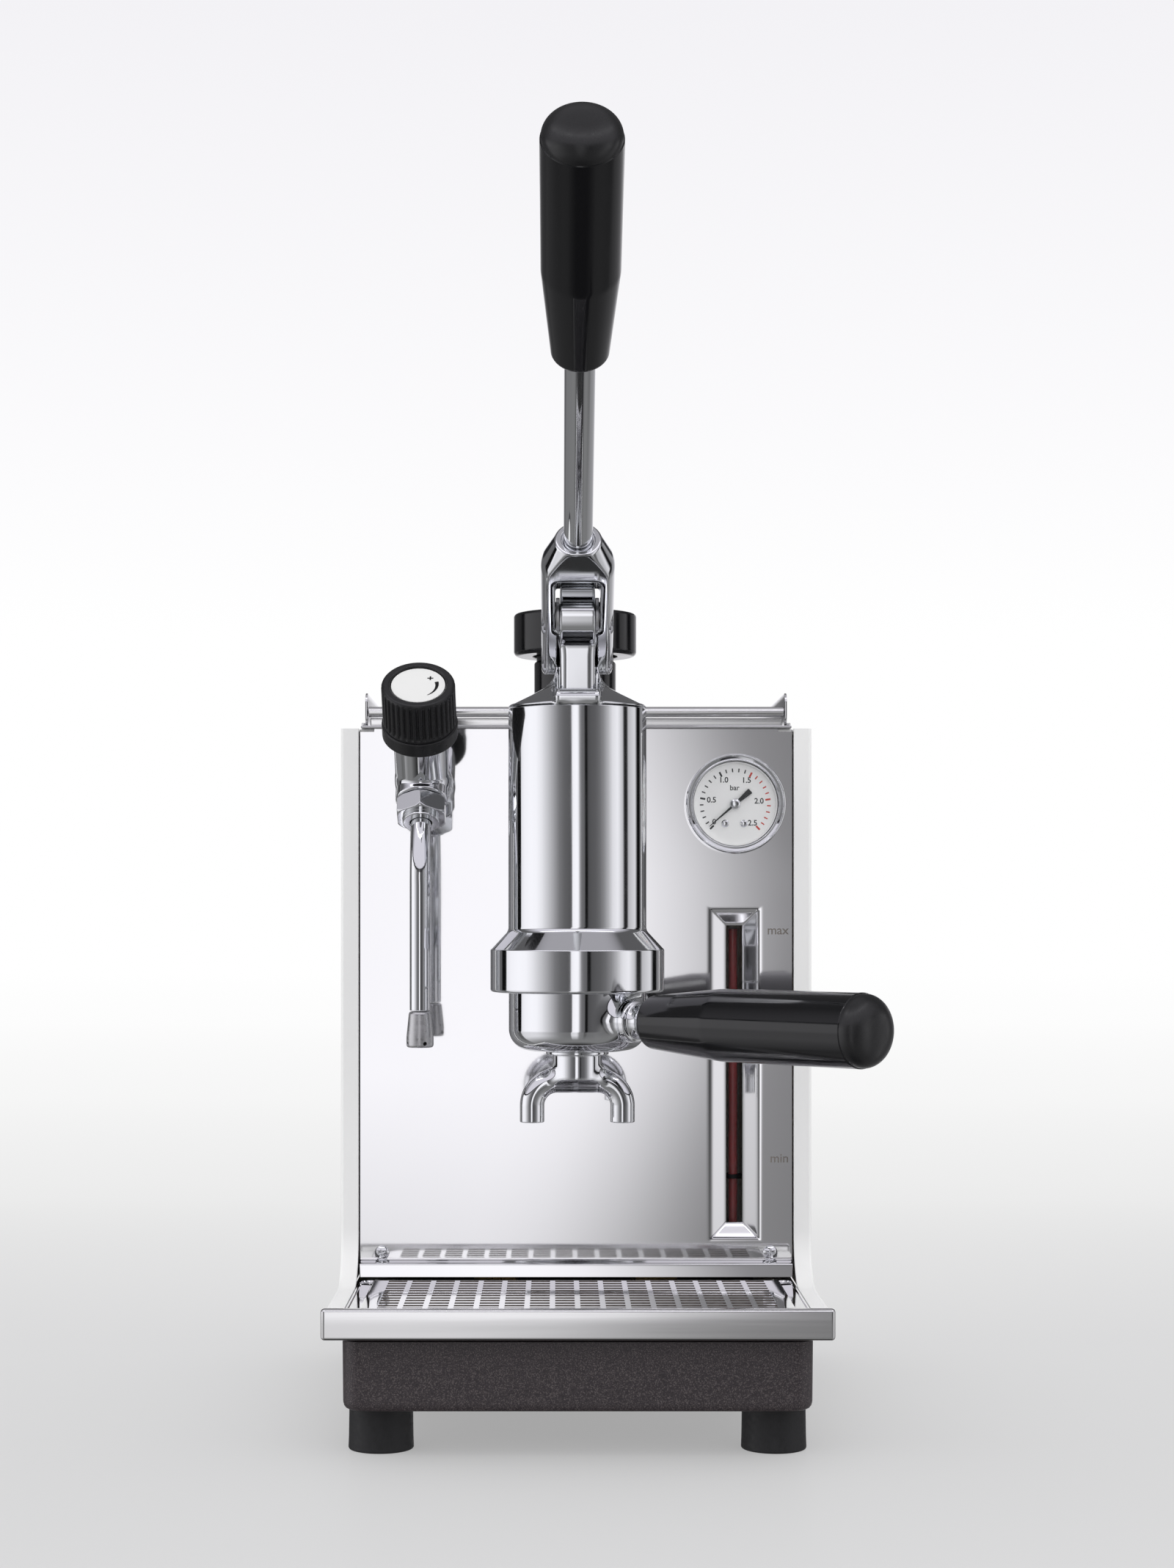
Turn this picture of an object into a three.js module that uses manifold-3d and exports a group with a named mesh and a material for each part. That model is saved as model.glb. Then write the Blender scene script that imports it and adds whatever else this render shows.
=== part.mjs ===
// A lever espresso machine, as an assembly of separate pieces.
// Millimetres. +X is to the right as seen from the front, +Y to the back, +Z up.
// Pieces are placed from three planes: the centre plane (x = 0), the plane of the
// painted front edges (y = 0) and the counter (z = 0).
import * as THREE from "three";
import { mergeVertices } from "three/addons/utils/BufferGeometryUtils.js";
import { ConvexGeometry } from "three/addons/geometries/ConvexGeometry.js";
import Module from "manifold-3d";

const wasm = await Module();
wasm.setup();

// How round the turned shapes are: sides of a full turn.
const fineSides = 32;
const midSides = 20;
const smallSides = 14;
const tinySides = 8;
const cornerSteps = 4;
const nutSides = 6;
// How far a bend's handles reach towards its corner.
const bendShare = 0.5523;

// Fits shared by all pieces.
const seamGap = 0.3;
const runningGap = 0.3;
const overrun = 5;
const weldTolerance = 1e-4;

// Body and its sheets.
const bodyWidth = 200;
const bodyTop = 292;
const bodyBack = 170;
const sheet = 1.2;
const frontEdgeWidth = 7.6;
const armReach = 96;
const armTop = 57;
const armFillet = 22;
const sideBottom = 47.7;

// Feet and base tub.
const footRadius = 12.9;
const footHeight = 18;
const footChamfer = 0.8;
const footInsetX = 14.2;
const footInsetY = 24;
const tubInset = 7.4;
const tubReach = 92;
const tubCorner = 8;
const tubWall = 2.5;
const tubRimWidth = 12;
const tubRimHeight = 1.5;
const tubRimInset = 1;

// Mirror front panel.
const panelSetback = 4;
const panelSideGap = 0.4;
const panelBottom = 59;
const panelFoldHeight = 6;
const panelFoldReach = 3;
const panelScrewInset = 17.3;
const panelScrewZ = 69.6;
const panelScrewRadius = 2.6;
const panelScrewHead = 1.5;

// Pressed pocket of the sight glass.
const columnInset = 32.4;
const pocketWidth = 20.2;
const pocketHeight = 140;
const pocketBottom = 75;
const pocketDepth = 6.6;
const pocketSlotWidth = 7;

// Sight glass.
const tubeRadius = 3;
const tubeBore = 2.1;
const tubeSetback = 4.6;
const tubeOverlap = 5;
const columnRadius = 1.7;
const columnTop = 150;
const ringHeight = 100.5;
const ringThickness = 1.8;
const ringWall = 0.8;
const unionRadius = 6;
const unionLength = 14;
const unionSink = 3;
const unionPipeRadius = 3.5;

// Pressure gauge.
const gaugeZ = 260;
const bezelRadius = 21.2;
const bezelWall = 3;
const bezelFront = 8;
const gaugeCanRadius = 18.9;
const gaugeCanDepth = 20;
const dialDepth = 5;
const dialThickness = 1;
const glassThickness = 1;
const glassDepth = 1.2;
const needleLength = 15;
const needleTail = 8;
const needleWidth = 1.6;
const needleThickness = 0.6;
const needleHub = 2.2;
const needleLift = 0.8;
const needleRestDegrees = 221;

// Cup tray and rails.
const trayUpstand = 4.8;
const upstandSetback = 8;
const railInset = 10.7;
const railPlate = 1;
const railHeight = 15.5;
const railFront = 3;
const railBack = 165;
const railCorner = 4;
const rodRadius = 2.2;
const rodHeight = 7.4;

// Boiler and what sits on it.
const boilerY = 70;
const boilerRadius = 52;
const boilerWall = 2;
const boilerBottom = 68;
const boilerTop = 243;
const boilerFlange = 58;
const flangeHeight = 3;
const lidHeight = 6;
const legSpreadShare = 0.5;
const bossRadius = 20;
const bossStand = 4;
const elementFlange = 30;
const elementHole = 22;
const elementTube = 4;
const elementSpread = 13;
const elementRise = 82;
const neckRadius = 18.4;
const neckBore = 13;
const neckTop = 341;
const capRadius = 27.6;
const capBottom = 329;
const capTop = 348;
const capDome = 2;
const sealHeight = 2;
const valveRadius = 6;
const valveOffset = 34;
const valveHeight = 28;
const valveHexHeight = 11;
const valveCapRadius = 4.2;

// Pressure switch.
const switchBox = 34;
const switchBoxDepth = 24;
const switchBoxZ = 205;
const switchTurnDegrees = 130;
const switchPipe = 6;

// Group: head, gasket, screen, cap.
const groupY = -60;
const groupRadius = 27.75;
const groupBore = 24.5;
const groupTop = 296;
const flangeRadius = 35;
const flangeBottom = 182;
const flangeTop = 199;
const flangeCone = 8;
const flangeChamfer = 1.2;
const ledgeHeight = 1.9;
const ledgeRadius = 28.4;
const grooveRadius = 32.4;
const grooveTop = 191.8;
const neckPassage = 6;
const groupNeckRadius = 21;
const groupNeckZ = 218;
const groupNeckCollar = 25;
const groupNeckCollarWidth = 3;
const gasketHeight = 3;
const gasketBore = 25.2;
const screenHeight = 1.6;
const screenScrew = 4;
const capConeTop = 306.5;
const capRimHeight = 1;
const capSpigot = 6;
const capTopRadius = 8;
const capSlotWidth = 16.6;
const capSlotFront = 23.5;
const toeRadius = 2.1;
const lugRadius = 6;

// Lever: fulcrum, fork, rod, grip.
const fulcrumY = -47;
const fulcrumZ = 319;
const leverElevation = 34;
const pinSpacing = 24;
const pinRadius = 4;
const pinClipRadius = 5.6;
const pinClip = 0.9;
const forkRadius = 14.5;
const forkFlat = 8.1;
const forkSlotWidth = 17.7;
const forkSlotEnd = 53;
const forkShoulder = 57;
const forkTop = 70;
const forkTopRadius = 8.9;
const leverRodRadius = 5.65;
const rodSeat = 12;
const gripStart = 168;
const gripTaperEnd = 208;
const gripEnd = 263;
const gripSmall = 10.4;
const gripLarge = 14;
const gripRound = 3.5;
const gripDome = 6;
const gripSeat = 14;

// Con-rod and piston.
const conRodLength = 80;
const conRodTilt = 4.95;
const eyeRadius = 11.5;
const eyeWidth = 14;
const barWidth = 15.5;
const barThickness = 6.4;
const wristEye = 8;
const wristPin = 4;
const wristPinReach = 16;
const pistonRadius = 24;
const pistonBottom = 206;
const pistonTop = 262;
const pistonFloor = 236;
const pistonCup = 19.5;
const sealGroove = 3.6;
const sealDepth = 2.4;
const sealProud = 0.2;
const sealLowOffset = 6;
const sealHighOffset = 20;

// Portafilter.
const holderRadius = 27.6;
const holderBottom = 158.6;
const holderRound = 11;
const holderWall = 2.4;
const cavityRound = 5;
const holderRise = 4.4;
const earReach = 3.8;
const earHeight = 2.2;
const earSpreadDegrees = 40;
const earPlayDegrees = 6;
const lockTurnDegrees = 60;
const basketRim = 1.6;
const basketRadius = 24.6;
const basketWall = 1;
const basketDepth = 17;
const handleZ = 171;
const handleAzimuth = -46;
const armRadius = 7;
const flareReach = 3;
const flareLength = 4.6;
const flareSink = 1.4;
const studRadius = 5;
const ferruleEnd = 33.8;
const handleTaperEnd = 78;
const handleEnd = 148;
const washerRadius = 12.6;
const washerHeight = 1.5;
const spoutStem = 9.9;
const spoutStemLength = 10.8;
const spoutBend = 10;
const spoutThread = 5;
const spoutSpread = 18.2;
const spoutTube = 4.9;
const spoutBore = 3.3;
const spoutBottom = 129.5;

// Steam valve and wand.
const steamInset = 36;
const steamY = -28;
const steamZ = 269;
const steamElevation = 47;
const steamBodyRadius = 10.5;
const steamBodyUp = 24.2;
const steamBall = 11.4;
const steamStub = 9;
const steamCollar = 14;
const steamCollarWidth = 3;
const steamBore = 4.6;
const stemRadius = 4;
const stemStart = 8;
const stemReach = 42;
const knobLength = 25.3;
const knobRadius = 15.2;
const knobBand = 6.5;
const knobBandRadius = 15.5;
const knobCrown = 3;
const knobRibs = 36;
const knobRibDepth = 0.9;
// Where each rib starts and ends in its pitch, and how deep it lies there.
const ribShares = [
  [0, 1],
  [0.35, 0],
  [0.75, 0],
];
const discRadius = 10.9;
const discThickness = 0.8;
const outletDegrees = 60;
const outletBoss = 9;
const outletBossLength = 11;
const nutAcross = 19.6;
const nutLength = 8;
const nutCollar = 7.6;
const nutCollarLength = 2;
const wandRadius = 4.2;
const wandStraight = 26;
const wandBend = 14;
const wandEnd = 174;
const tipBottom = 158.9;
const tipRadius = 5.5;
const tipTopRadius = 4.5;
const tipRound = 1.2;
const tipFlare = 5;

// Drip tray and grate.
const lipHeight = 12.5;
const lipThickness = 3.6;
const lipRound = 1.2;
const basinInset = 15.5;
const basinWall = 1.2;
const rimInset = 8.2;
const rimTop = 57.2;
const basinFront = 3;
const trayBack = 1.5;
const grateInset = 14.3;
const grateThickness = 1.2;
const grateFront = 1.6;
const grateBack = 2.6;
const grateCorner = 3;
const slotColumns = 16;
const slotRows = 4;
const slotSideMargin = 5.7;
const slotLengthShare = 0.74;
const slotMargin = 5;
const slotDepthShare = 0.7;

// Mains inlet with its switch, in the rear panel.
const inletInset = 45;
const inletBottom = 62;
const inletWidth = 28;
const inletHeight = 48;
const inletLip = 3;
const inletDepth = 22;
const socketWidth = 22;
const socketHeight = 16;
const socketDepth = 14;
const bladeWidth = 2;
const bladeLength = 8;
const rockerWidth = 18;
const rockerHeight = 13;
const rockerDepth = 7;
const rockerTiltDegrees = 10;
const ventCount = 7;
const ventWidth = 90;
const ventHeight = 3;
const ventPitch = 9;
const ventTop = 270;

// Heights and faces that follow from the sizes above.
const halfBody = bodyWidth / 2;
const halfTub = halfBody - tubInset;
const panelScrewX = halfBody - panelScrewInset;
const columnX = halfBody - columnInset;
const railX = halfBody - railInset;
const steamX = steamInset - halfBody;
const basinHalf = halfBody - basinInset;
const grateHalf = halfBody - grateInset;
const slotPitch = (2 * (grateHalf - slotSideMargin)) / slotColumns;
const inletX = inletInset - halfBody;
const rimHalf = halfBody - rimInset;
const tubBottom = footHeight + seamGap;
const tubTop = sideBottom - seamGap;
const tubBack = bodyBack - sheet - seamGap;
const innerSide = halfBody - sheet;
const panelHalf = halfBody - frontEdgeWidth - panelSideGap;
const panelTop = bodyTop - seamGap;
const trayPlateBottom = bodyTop + seamGap;
const trayPlateTop = trayPlateBottom + sheet;
const pocketSlope = (pocketWidth - pocketSlotWidth) / 2;
const pocketFloor = panelSetback + pocketDepth;
const pocketTop = pocketBottom + pocketHeight;
const tubeY = pocketFloor + sheet + tubeSetback;
const tubeLow = pocketBottom + pocketSlope - tubeOverlap;
const tubeHigh = pocketTop - pocketSlope + tubeOverlap;
const lidBottom = boilerTop + seamGap;
const lidTop = lidBottom + lidHeight;
const cylinderBottom = grooveTop + seamGap;
const leverTurn = THREE.MathUtils.degToRad(90 - leverElevation);
const steamTurn = THREE.MathUtils.degToRad(90 - steamElevation);
const outletTurn = THREE.MathUtils.degToRad(outletDegrees - 90);
const gratePlane = rimTop + seamGap;
const wallRear = bodyBack - seamGap;

// Finishes.
function finish(color, roughness, metalness) {
  return () => new THREE.MeshStandardMaterial({ color, roughness, metalness });
}
const chrome = finish("#d9dbde", 0.08, 1);
const polished = finish("#d4d6d8", 0.12, 1);
const satin = finish("#c4c6c8", 0.4, 1);
const brass = finish("#b99a55", 0.35, 1);
const whitePaint = finish("#eceeea", 0.45, 0);
const speckled = finish("#3a3130", 0.7, 0);
const gloss = finish("#0c0c0e", 0.12, 0);
const matt = finish("#17171a", 0.5, 0);
const rubber = finish("#1c1d20", 0.8, 0);
const glass = finish("#e8eef0", 0.05, 0);
const redLiquid = finish("#5a1218", 0.3, 0);
const dialWhite = finish("#f2f2ef", 0.5, 0);

// A closed geometry as a solid: vertices are merged and the faces are turned outwards.
function solidOf(geometry) {
  const bare = new THREE.BufferGeometry();
  bare.setAttribute("position", geometry.getAttribute("position").clone());
  if (geometry.index) bare.setIndex(geometry.index.clone());
  const merged = mergeVertices(bare, weldTolerance);
  const at = merged.getAttribute("position");
  const corners = [new THREE.Vector3(), new THREE.Vector3(), new THREE.Vector3()];
  const faces = [];
  let volume = 0;
  for (let i = 0; i < merged.index.count; i += 3) {
    const face = [0, 1, 2].map((k) => merged.index.getX(i + k));
    if (new Set(face).size < 3) continue;
    face.forEach((v, k) => corners[k].fromBufferAttribute(at, v));
    volume += corners[0].dot(corners[1].clone().cross(corners[2]));
    faces.push(...face);
  }
  if (volume < 0) faces.reverse();
  const triVerts = new Uint32Array(faces);
  const vertProperties = new Float32Array(at.array);
  return new wasm.Manifold(new wasm.Mesh({ numProp: 3, vertProperties, triVerts }));
}

// A solid as a geometry with flat faces.
function geometryOf(solid) {
  const mesh = solid.getMesh();
  const points = new Float32Array(mesh.numVert * 3);
  for (let i = 0; i < mesh.numVert; i += 1) {
    points.set(mesh.vertProperties.subarray(i * mesh.numProp, i * mesh.numProp + 3), i * 3);
  }
  const indexed = new THREE.BufferGeometry();
  indexed.setAttribute("position", new THREE.BufferAttribute(points, 3));
  indexed.setIndex(new THREE.BufferAttribute(mesh.triVerts, 1));
  const flat = indexed.toNonIndexed();
  flat.computeVertexNormals();
  return flat;
}

function join(...parts) {
  return parts.reduce((whole, part) => whole.add(part));
}

function cut(whole, ...tools) {
  return tools.reduce((rest, tool) => rest.subtract(tool), whole);
}

// A block given by its spans along X, Y and Z.
function blockShape(xs, ys, zs) {
  const size = [xs, ys, zs].map(([low, high]) => high - low);
  const middle = [xs, ys, zs].map(([low, high]) => (low + high) / 2);
  return new THREE.BoxGeometry(...size).translate(...middle);
}

function block(xs, ys, zs) {
  return solidOf(blockShape(xs, ys, zs));
}

// Points of a quarter of an ellipse in a profile, between two angles.
function roundPoints(r, h, reachR, reachH, fromDegrees, toDegrees, steps = cornerSteps) {
  const points = [];
  for (let i = 0; i <= steps; i += 1) {
    const turn = THREE.MathUtils.degToRad(fromDegrees + ((toDegrees - fromDegrees) * i) / steps);
    points.push([r + reachR * Math.cos(turn), h + reachH * Math.sin(turn)]);
  }
  return points;
}

// A bend that leaves one point towards a corner and arrives at another point from it.
function bendBetween(from, corner, to) {
  const first = from.clone().lerp(corner, bendShare);
  const second = to.clone().lerp(corner, bendShare);
  return new THREE.CubicBezierCurve3(from, first, second, to);
}

// A profile of [radius, height] points turned about the Z axis.
function turnedShape(profile, sides) {
  const points = profile.map(([r, h]) => new THREE.Vector2(r, h));
  return new THREE.LatheGeometry(points, sides).rotateX(Math.PI / 2);
}

function turned(profile, sides) {
  return solidOf(turnedShape(profile, sides));
}

// The same turned about an axis along Y, heights growing towards the front.
function turnedToFront(profile, sides, x, z) {
  return solidOf(turnedShape(profile, sides).rotateX(Math.PI / 2).translate(x, 0, z));
}

// A round bar along Z, along Y or along X.
function barZ(radius, low, high, sides) {
  const shape = new THREE.CylinderGeometry(radius, radius, high - low, sides);
  return shape.rotateX(Math.PI / 2).translate(0, 0, (low + high) / 2);
}

function barY(radius, near, far, sides) {
  return new THREE.CylinderGeometry(radius, radius, far - near, sides).translate(
    0,
    (near + far) / 2,
    0,
  );
}

function barX(radius, half, sides) {
  return new THREE.CylinderGeometry(radius, radius, 2 * half, sides).rotateZ(Math.PI / 2);
}

// An outline drawn in X and Y, given a height along Z.
function raised(outline, low, high) {
  const shape = new THREE.ExtrudeGeometry(outline, {
    depth: high - low,
    bevelEnabled: false,
    curveSegments: cornerSteps,
  });
  return shape.translate(0, 0, low);
}

// An outline drawn in Y and Z, carried along X between two planes.
const alongX = new THREE.Matrix4().makeBasis(
  new THREE.Vector3(0, 1, 0),
  new THREE.Vector3(0, 0, 1),
  new THREE.Vector3(1, 0, 0),
);

function carriedX(outline, low, high, steps = cornerSteps) {
  const shape = new THREE.ExtrudeGeometry(outline, {
    depth: high - low,
    bevelEnabled: false,
    curveSegments: steps,
  });
  return shape.applyMatrix4(alongX).translate(low, 0, 0);
}

// A rectangle with round corners.
function roundedOutline(x0, y0, x1, y1, r) {
  const outline = new THREE.Shape();
  const quarter = Math.PI / 2;
  outline.absarc(x1 - r, y1 - r, r, 0, quarter, false);
  outline.absarc(x0 + r, y1 - r, r, quarter, 2 * quarter, false);
  outline.absarc(x0 + r, y0 + r, r, 2 * quarter, 3 * quarter, false);
  outline.absarc(x1 - r, y0 + r, r, 3 * quarter, 4 * quarter, false);
  return outline;
}

// A round tube carried along a path.
function tubeAlong(path, radius, sides, steps) {
  const section = new THREE.Shape();
  for (let i = 0; i < sides; i += 1) {
    const turn = (i / sides) * 2 * Math.PI;
    const x = radius * Math.cos(turn);
    const y = radius * Math.sin(turn);
    if (i === 0) section.moveTo(x, y);
    else section.lineTo(x, y);
  }
  section.closePath();
  return new THREE.ExtrudeGeometry(section, { steps, extrudePath: path });
}

function polygon(points) {
  return new THREE.Shape(points.map(([a, b]) => new THREE.Vector2(a, b)));
}

const machine = new THREE.Group();

function addPiece(parent, name, solid, material) {
  const mesh = new THREE.Mesh(geometryOf(solid), material());
  mesh.name = name;
  parent.add(mesh);
  return mesh;
}

function groupAt(parent, x, y, z, turnX = 0) {
  const group = new THREE.Group();
  group.position.set(x, y, z);
  group.rotation.x = turnX;
  parent.add(group);
  return group;
}

const sidesOfMachine = [
  ["left", -1],
  ["right", 1],
];

function addFeet() {
  const profile = [
    [0, 0],
    [footRadius - footChamfer, 0],
    [footRadius, footChamfer],
    [footRadius, footHeight],
    [0, footHeight],
  ];
  const footX = halfTub - footInsetX;
  const rows = [
    ["front", -tubReach + footInsetY],
    ["rear", tubBack - footInsetY],
  ];
  for (const [row, y] of rows) {
    for (const [side, sign] of sidesOfMachine) {
      const foot = addPiece(machine, `foot_${row}_${side}`, turned(profile, midSides), rubber);
      foot.position.set(sign * footX, y, 0);
    }
  }
}

// The tub is open at the top, and its rim carries the side panels and the drip tray.
function addBaseTub() {
  const outside = roundedOutline(-halfTub, -tubReach, halfTub, tubBack, tubCorner);
  const inside = roundedOutline(
    -halfTub + tubWall,
    -tubReach + tubWall,
    halfTub - tubWall,
    tubBack - tubWall,
    tubCorner - tubWall,
  );
  const rim = roundedOutline(
    -halfBody + tubRimInset,
    -tubReach + tubCorner,
    halfBody - tubRimInset,
    tubBack,
    tubWall,
  );
  const opening = roundedOutline(
    -halfTub + tubRimWidth,
    -tubReach + tubRimWidth,
    halfTub - tubRimWidth,
    tubBack - tubRimWidth,
    tubWall,
  );
  const shell = cut(
    solidOf(raised(outside, tubBottom, tubTop)),
    solidOf(raised(inside, tubBottom + tubWall, tubTop - tubRimHeight)),
  );
  const flange = solidOf(raised(rim, tubTop - tubRimHeight, tubTop));
  const way = solidOf(raised(opening, tubBottom + tubWall, tubTop + overrun));
  addPiece(machine, "base_tub", cut(join(shell, flange), way), speckled);
}

// The front edge of a side panel: forward arm, hollow curve, then straight up.
function frontEdge(outline, inset) {
  outline.lineTo(-armFillet, armTop - inset);
  outline.absarc(-armFillet, armTop + armFillet, armFillet + inset, -Math.PI / 2, 0, false);
  outline.lineTo(inset, bodyTop);
}

function addSidePanels() {
  const wall = new THREE.Shape();
  wall.moveTo(-armReach, sideBottom);
  wall.lineTo(-armReach, armTop);
  frontEdge(wall, 0);
  wall.lineTo(wallRear, bodyTop);
  wall.lineTo(wallRear, sideBottom);
  wall.closePath();
  const inner = new THREE.Shape();
  inner.moveTo(-armReach, armTop - sheet);
  frontEdge(inner, sheet);
  const outer = new THREE.Shape();
  outer.moveTo(-armReach, armTop);
  frontEdge(outer, 0);
  const edge = new THREE.Shape([...outer.getPoints(cornerSteps), ...inner.getPoints(cornerSteps).reverse()]);
  const edgeInner = halfBody - frontEdgeWidth;
  for (const [side, sign] of sidesOfMachine) {
    const wallSpan = [sign * innerSide, sign * halfBody].sort((a, b) => a - b);
    const edgeSpan = [sign * edgeInner, sign * halfBody].sort((a, b) => a - b);
    const panel = join(
      solidOf(carriedX(wall, ...wallSpan)),
      solidOf(carriedX(edge, ...edgeSpan)),
    );
    addPiece(machine, `side_panel_${side}`, panel, whitePaint);
  }
}

// The hip-shaped pocket: a tapered block between the panel's face and its floor.
function pocketBlock(grow, from, to) {
  const points = [];
  const slopeTotal = pocketFloor - panelSetback;
  for (const y of [from, to]) {
    const inset = (pocketSlope * (y - panelSetback)) / slopeTotal;
    for (const sx of [-1, 1]) {
      const x = columnX + sx * (pocketWidth / 2 - inset + grow);
      points.push(new THREE.Vector3(x, y, pocketBottom + inset - grow));
      points.push(new THREE.Vector3(x, y, pocketTop - inset + grow));
    }
  }
  return solidOf(new ConvexGeometry(points));
}

function addFrontPanel() {
  const foldFront = panelSetback - panelFoldReach;
  const foldTop = panelBottom + panelFoldHeight;
  const profile = polygon([
    [panelSetback, panelTop],
    [panelSetback, foldTop + sheet],
    [foldFront, foldTop],
    [foldFront, panelBottom],
    [foldFront + sheet, panelBottom],
    [foldFront + sheet, foldTop - sheet / 2],
    [panelSetback + sheet, foldTop + sheet / 2],
    [panelSetback + sheet, panelTop],
  ]);
  const backFace = panelSetback + sheet;
  const sheetBody = solidOf(carriedX(profile, -panelHalf, panelHalf));
  const pocketShell = pocketBlock(sheet, panelSetback + sheet / 2, pocketFloor + sheet);
  const hollow = pocketBlock(0, panelSetback - sheet, pocketFloor);
  const slotHalf = pocketSlotWidth / 2;
  const slot = block(
    [columnX - slotHalf, columnX + slotHalf],
    [pocketFloor - sheet, pocketFloor + 2 * sheet],
    [pocketBottom + pocketSlope, pocketTop - pocketSlope],
  );
  const throughSheet = [-overrun, backFace + overrun];
  const gaugeHole = barY(gaugeCanRadius + runningGap, ...throughSheet, midSides);
  const neckHole = barY(groupNeckRadius + runningGap, ...throughSheet, midSides);
  const steamHole = barY(steamStub + runningGap, ...throughSheet, smallSides);
  const panel = cut(
    join(sheetBody, pocketShell),
    hollow,
    slot,
    solidOf(gaugeHole.translate(columnX, 0, gaugeZ)),
    solidOf(neckHole.translate(0, 0, groupNeckZ)),
    solidOf(steamHole.translate(steamX, 0, steamZ)),
  );
  addPiece(machine, "front_panel", panel, polished);
  const head = [
    [0, 0],
    [panelScrewRadius, 0],
    [panelScrewRadius, panelScrewHead / 2],
    [panelScrewRadius / 2, panelScrewHead],
    [0, panelScrewHead],
  ];
  for (const [side, sign] of sidesOfMachine) {
    const screw = turnedToFront(head, smallSides, sign * panelScrewX, panelScrewZ);
    const mesh = addPiece(machine, `panel_screw_${side}`, screw, satin);
    mesh.position.y = panelSetback - seamGap;
  }
}

function addRearPanel() {
  const half = innerSide - seamGap;
  const panelSpan = [wallRear - sheet, wallRear];
  const through = [wallRear - sheet - overrun, wallRear + overrun];
  const vents = [];
  for (let i = 0; i < ventCount; i += 1) {
    const top = ventTop - i * ventPitch;
    vents.push(block([-ventWidth / 2, ventWidth / 2], through, [top - ventHeight, top]));
  }
  const inletHole = block(
    [inletX - inletWidth / 2 - seamGap, inletX + inletWidth / 2 + seamGap],
    through,
    [inletBottom - seamGap, inletBottom + inletHeight + seamGap],
  );
  const panel = block([-half, half], panelSpan, [sideBottom, bodyTop - seamGap]);
  addPiece(machine, "rear_panel", cut(panel, inletHole, ...vents), whitePaint);
}

function addCupTray() {
  const half = innerSide - seamGap;
  const plate = block([-half, half], [railFront - seamGap, wallRear - sheet], [trayPlateBottom, trayPlateTop]);
  const upstandHalf = railX - railPlate - seamGap;
  const upstand = block(
    [-upstandHalf, upstandHalf],
    [upstandSetback, upstandSetback + sheet],
    [trayPlateBottom, trayPlateTop + trayUpstand - sheet],
  );
  const hole = barZ(neckRadius + 2 * runningGap, trayPlateBottom - overrun, trayPlateTop + overrun, midSides);
  const tray = cut(join(plate, upstand), solidOf(hole.translate(0, boilerY, 0)));
  addPiece(machine, "cup_tray", tray, satin);

  const bottom = trayPlateTop + seamGap;
  const top = bodyTop + railHeight;
  const outline = roundedOutline(railFront, bottom, railBack, top, railCorner);
  for (const [side, sign] of sidesOfMachine) {
    const span = [sign * railX - railPlate / 2, sign * railX + railPlate / 2];
    addPiece(machine, `cup_rail_${side}`, solidOf(carriedX(outline, ...span)), satin);
  }
  const rod = barX(rodRadius, railX - railPlate / 2 - seamGap, smallSides);
  const rodY = upstandSetback - seamGap - rodRadius;
  addPiece(machine, "cup_rail_rod", solidOf(rod.translate(0, rodY, bodyTop + rodHeight)), satin);
}

// The boiler is an open pot on three legs, with a flat boss that the group bolts to.
function addBoiler() {
  const inner = boilerRadius - boilerWall;
  const pot = turned(
    [
      [0, boilerBottom],
      [boilerRadius, boilerBottom],
      [boilerRadius, boilerTop - flangeHeight],
      [boilerFlange, boilerTop - flangeHeight],
      [boilerFlange, boilerTop],
      [0, boilerTop],
    ],
    fineSides,
  );
  const legs = turned(
    [
      [inner, tubBottom + tubWall + seamGap],
      [boilerRadius, tubBottom + tubWall + seamGap],
      [boilerRadius, boilerBottom + boilerWall],
      [inner, boilerBottom + boilerWall],
      [inner, tubBottom + tubWall + seamGap],
    ],
    fineSides,
  );
  const windowHalf = boilerRadius * legSpreadShare;
  const windowSpan = [tubBottom, boilerBottom - boilerWall];
  const windows = [
    block([-windowHalf, windowHalf], [-boilerFlange, boilerFlange], windowSpan),
    block([-boilerFlange, boilerFlange], [-windowHalf, windowHalf], windowSpan),
  ];
  const bossEnd = neckEnd() + seamGap - boilerY;
  const boss = barY(bossRadius, bossEnd, -inner, midSides).translate(0, 0, groupNeckZ);
  const hollow = barZ(inner, boilerBottom + boilerWall, boilerTop + overrun, fineSides);
  const elementWay = barZ(elementHole, boilerBottom - overrun, boilerBottom + overrun, midSides);
  const passage = barY(neckPassage, bossEnd - overrun, -inner + overrun, smallSides);
  const boiler = cut(
    join(pot, cut(legs, ...windows), solidOf(boss)),
    solidOf(hollow),
    solidOf(elementWay),
    solidOf(passage.translate(0, 0, groupNeckZ)),
  );
  addPiece(machine, "boiler", boiler, brass).position.y = boilerY;

  const lid = cut(
    solidOf(barZ(boilerFlange, lidBottom, lidTop, fineSides)),
    solidOf(barZ(neckBore, lidBottom - overrun, lidTop + overrun, smallSides)),
  );
  addPiece(machine, "boiler_lid", lid, brass).position.y = boilerY;
}

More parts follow.
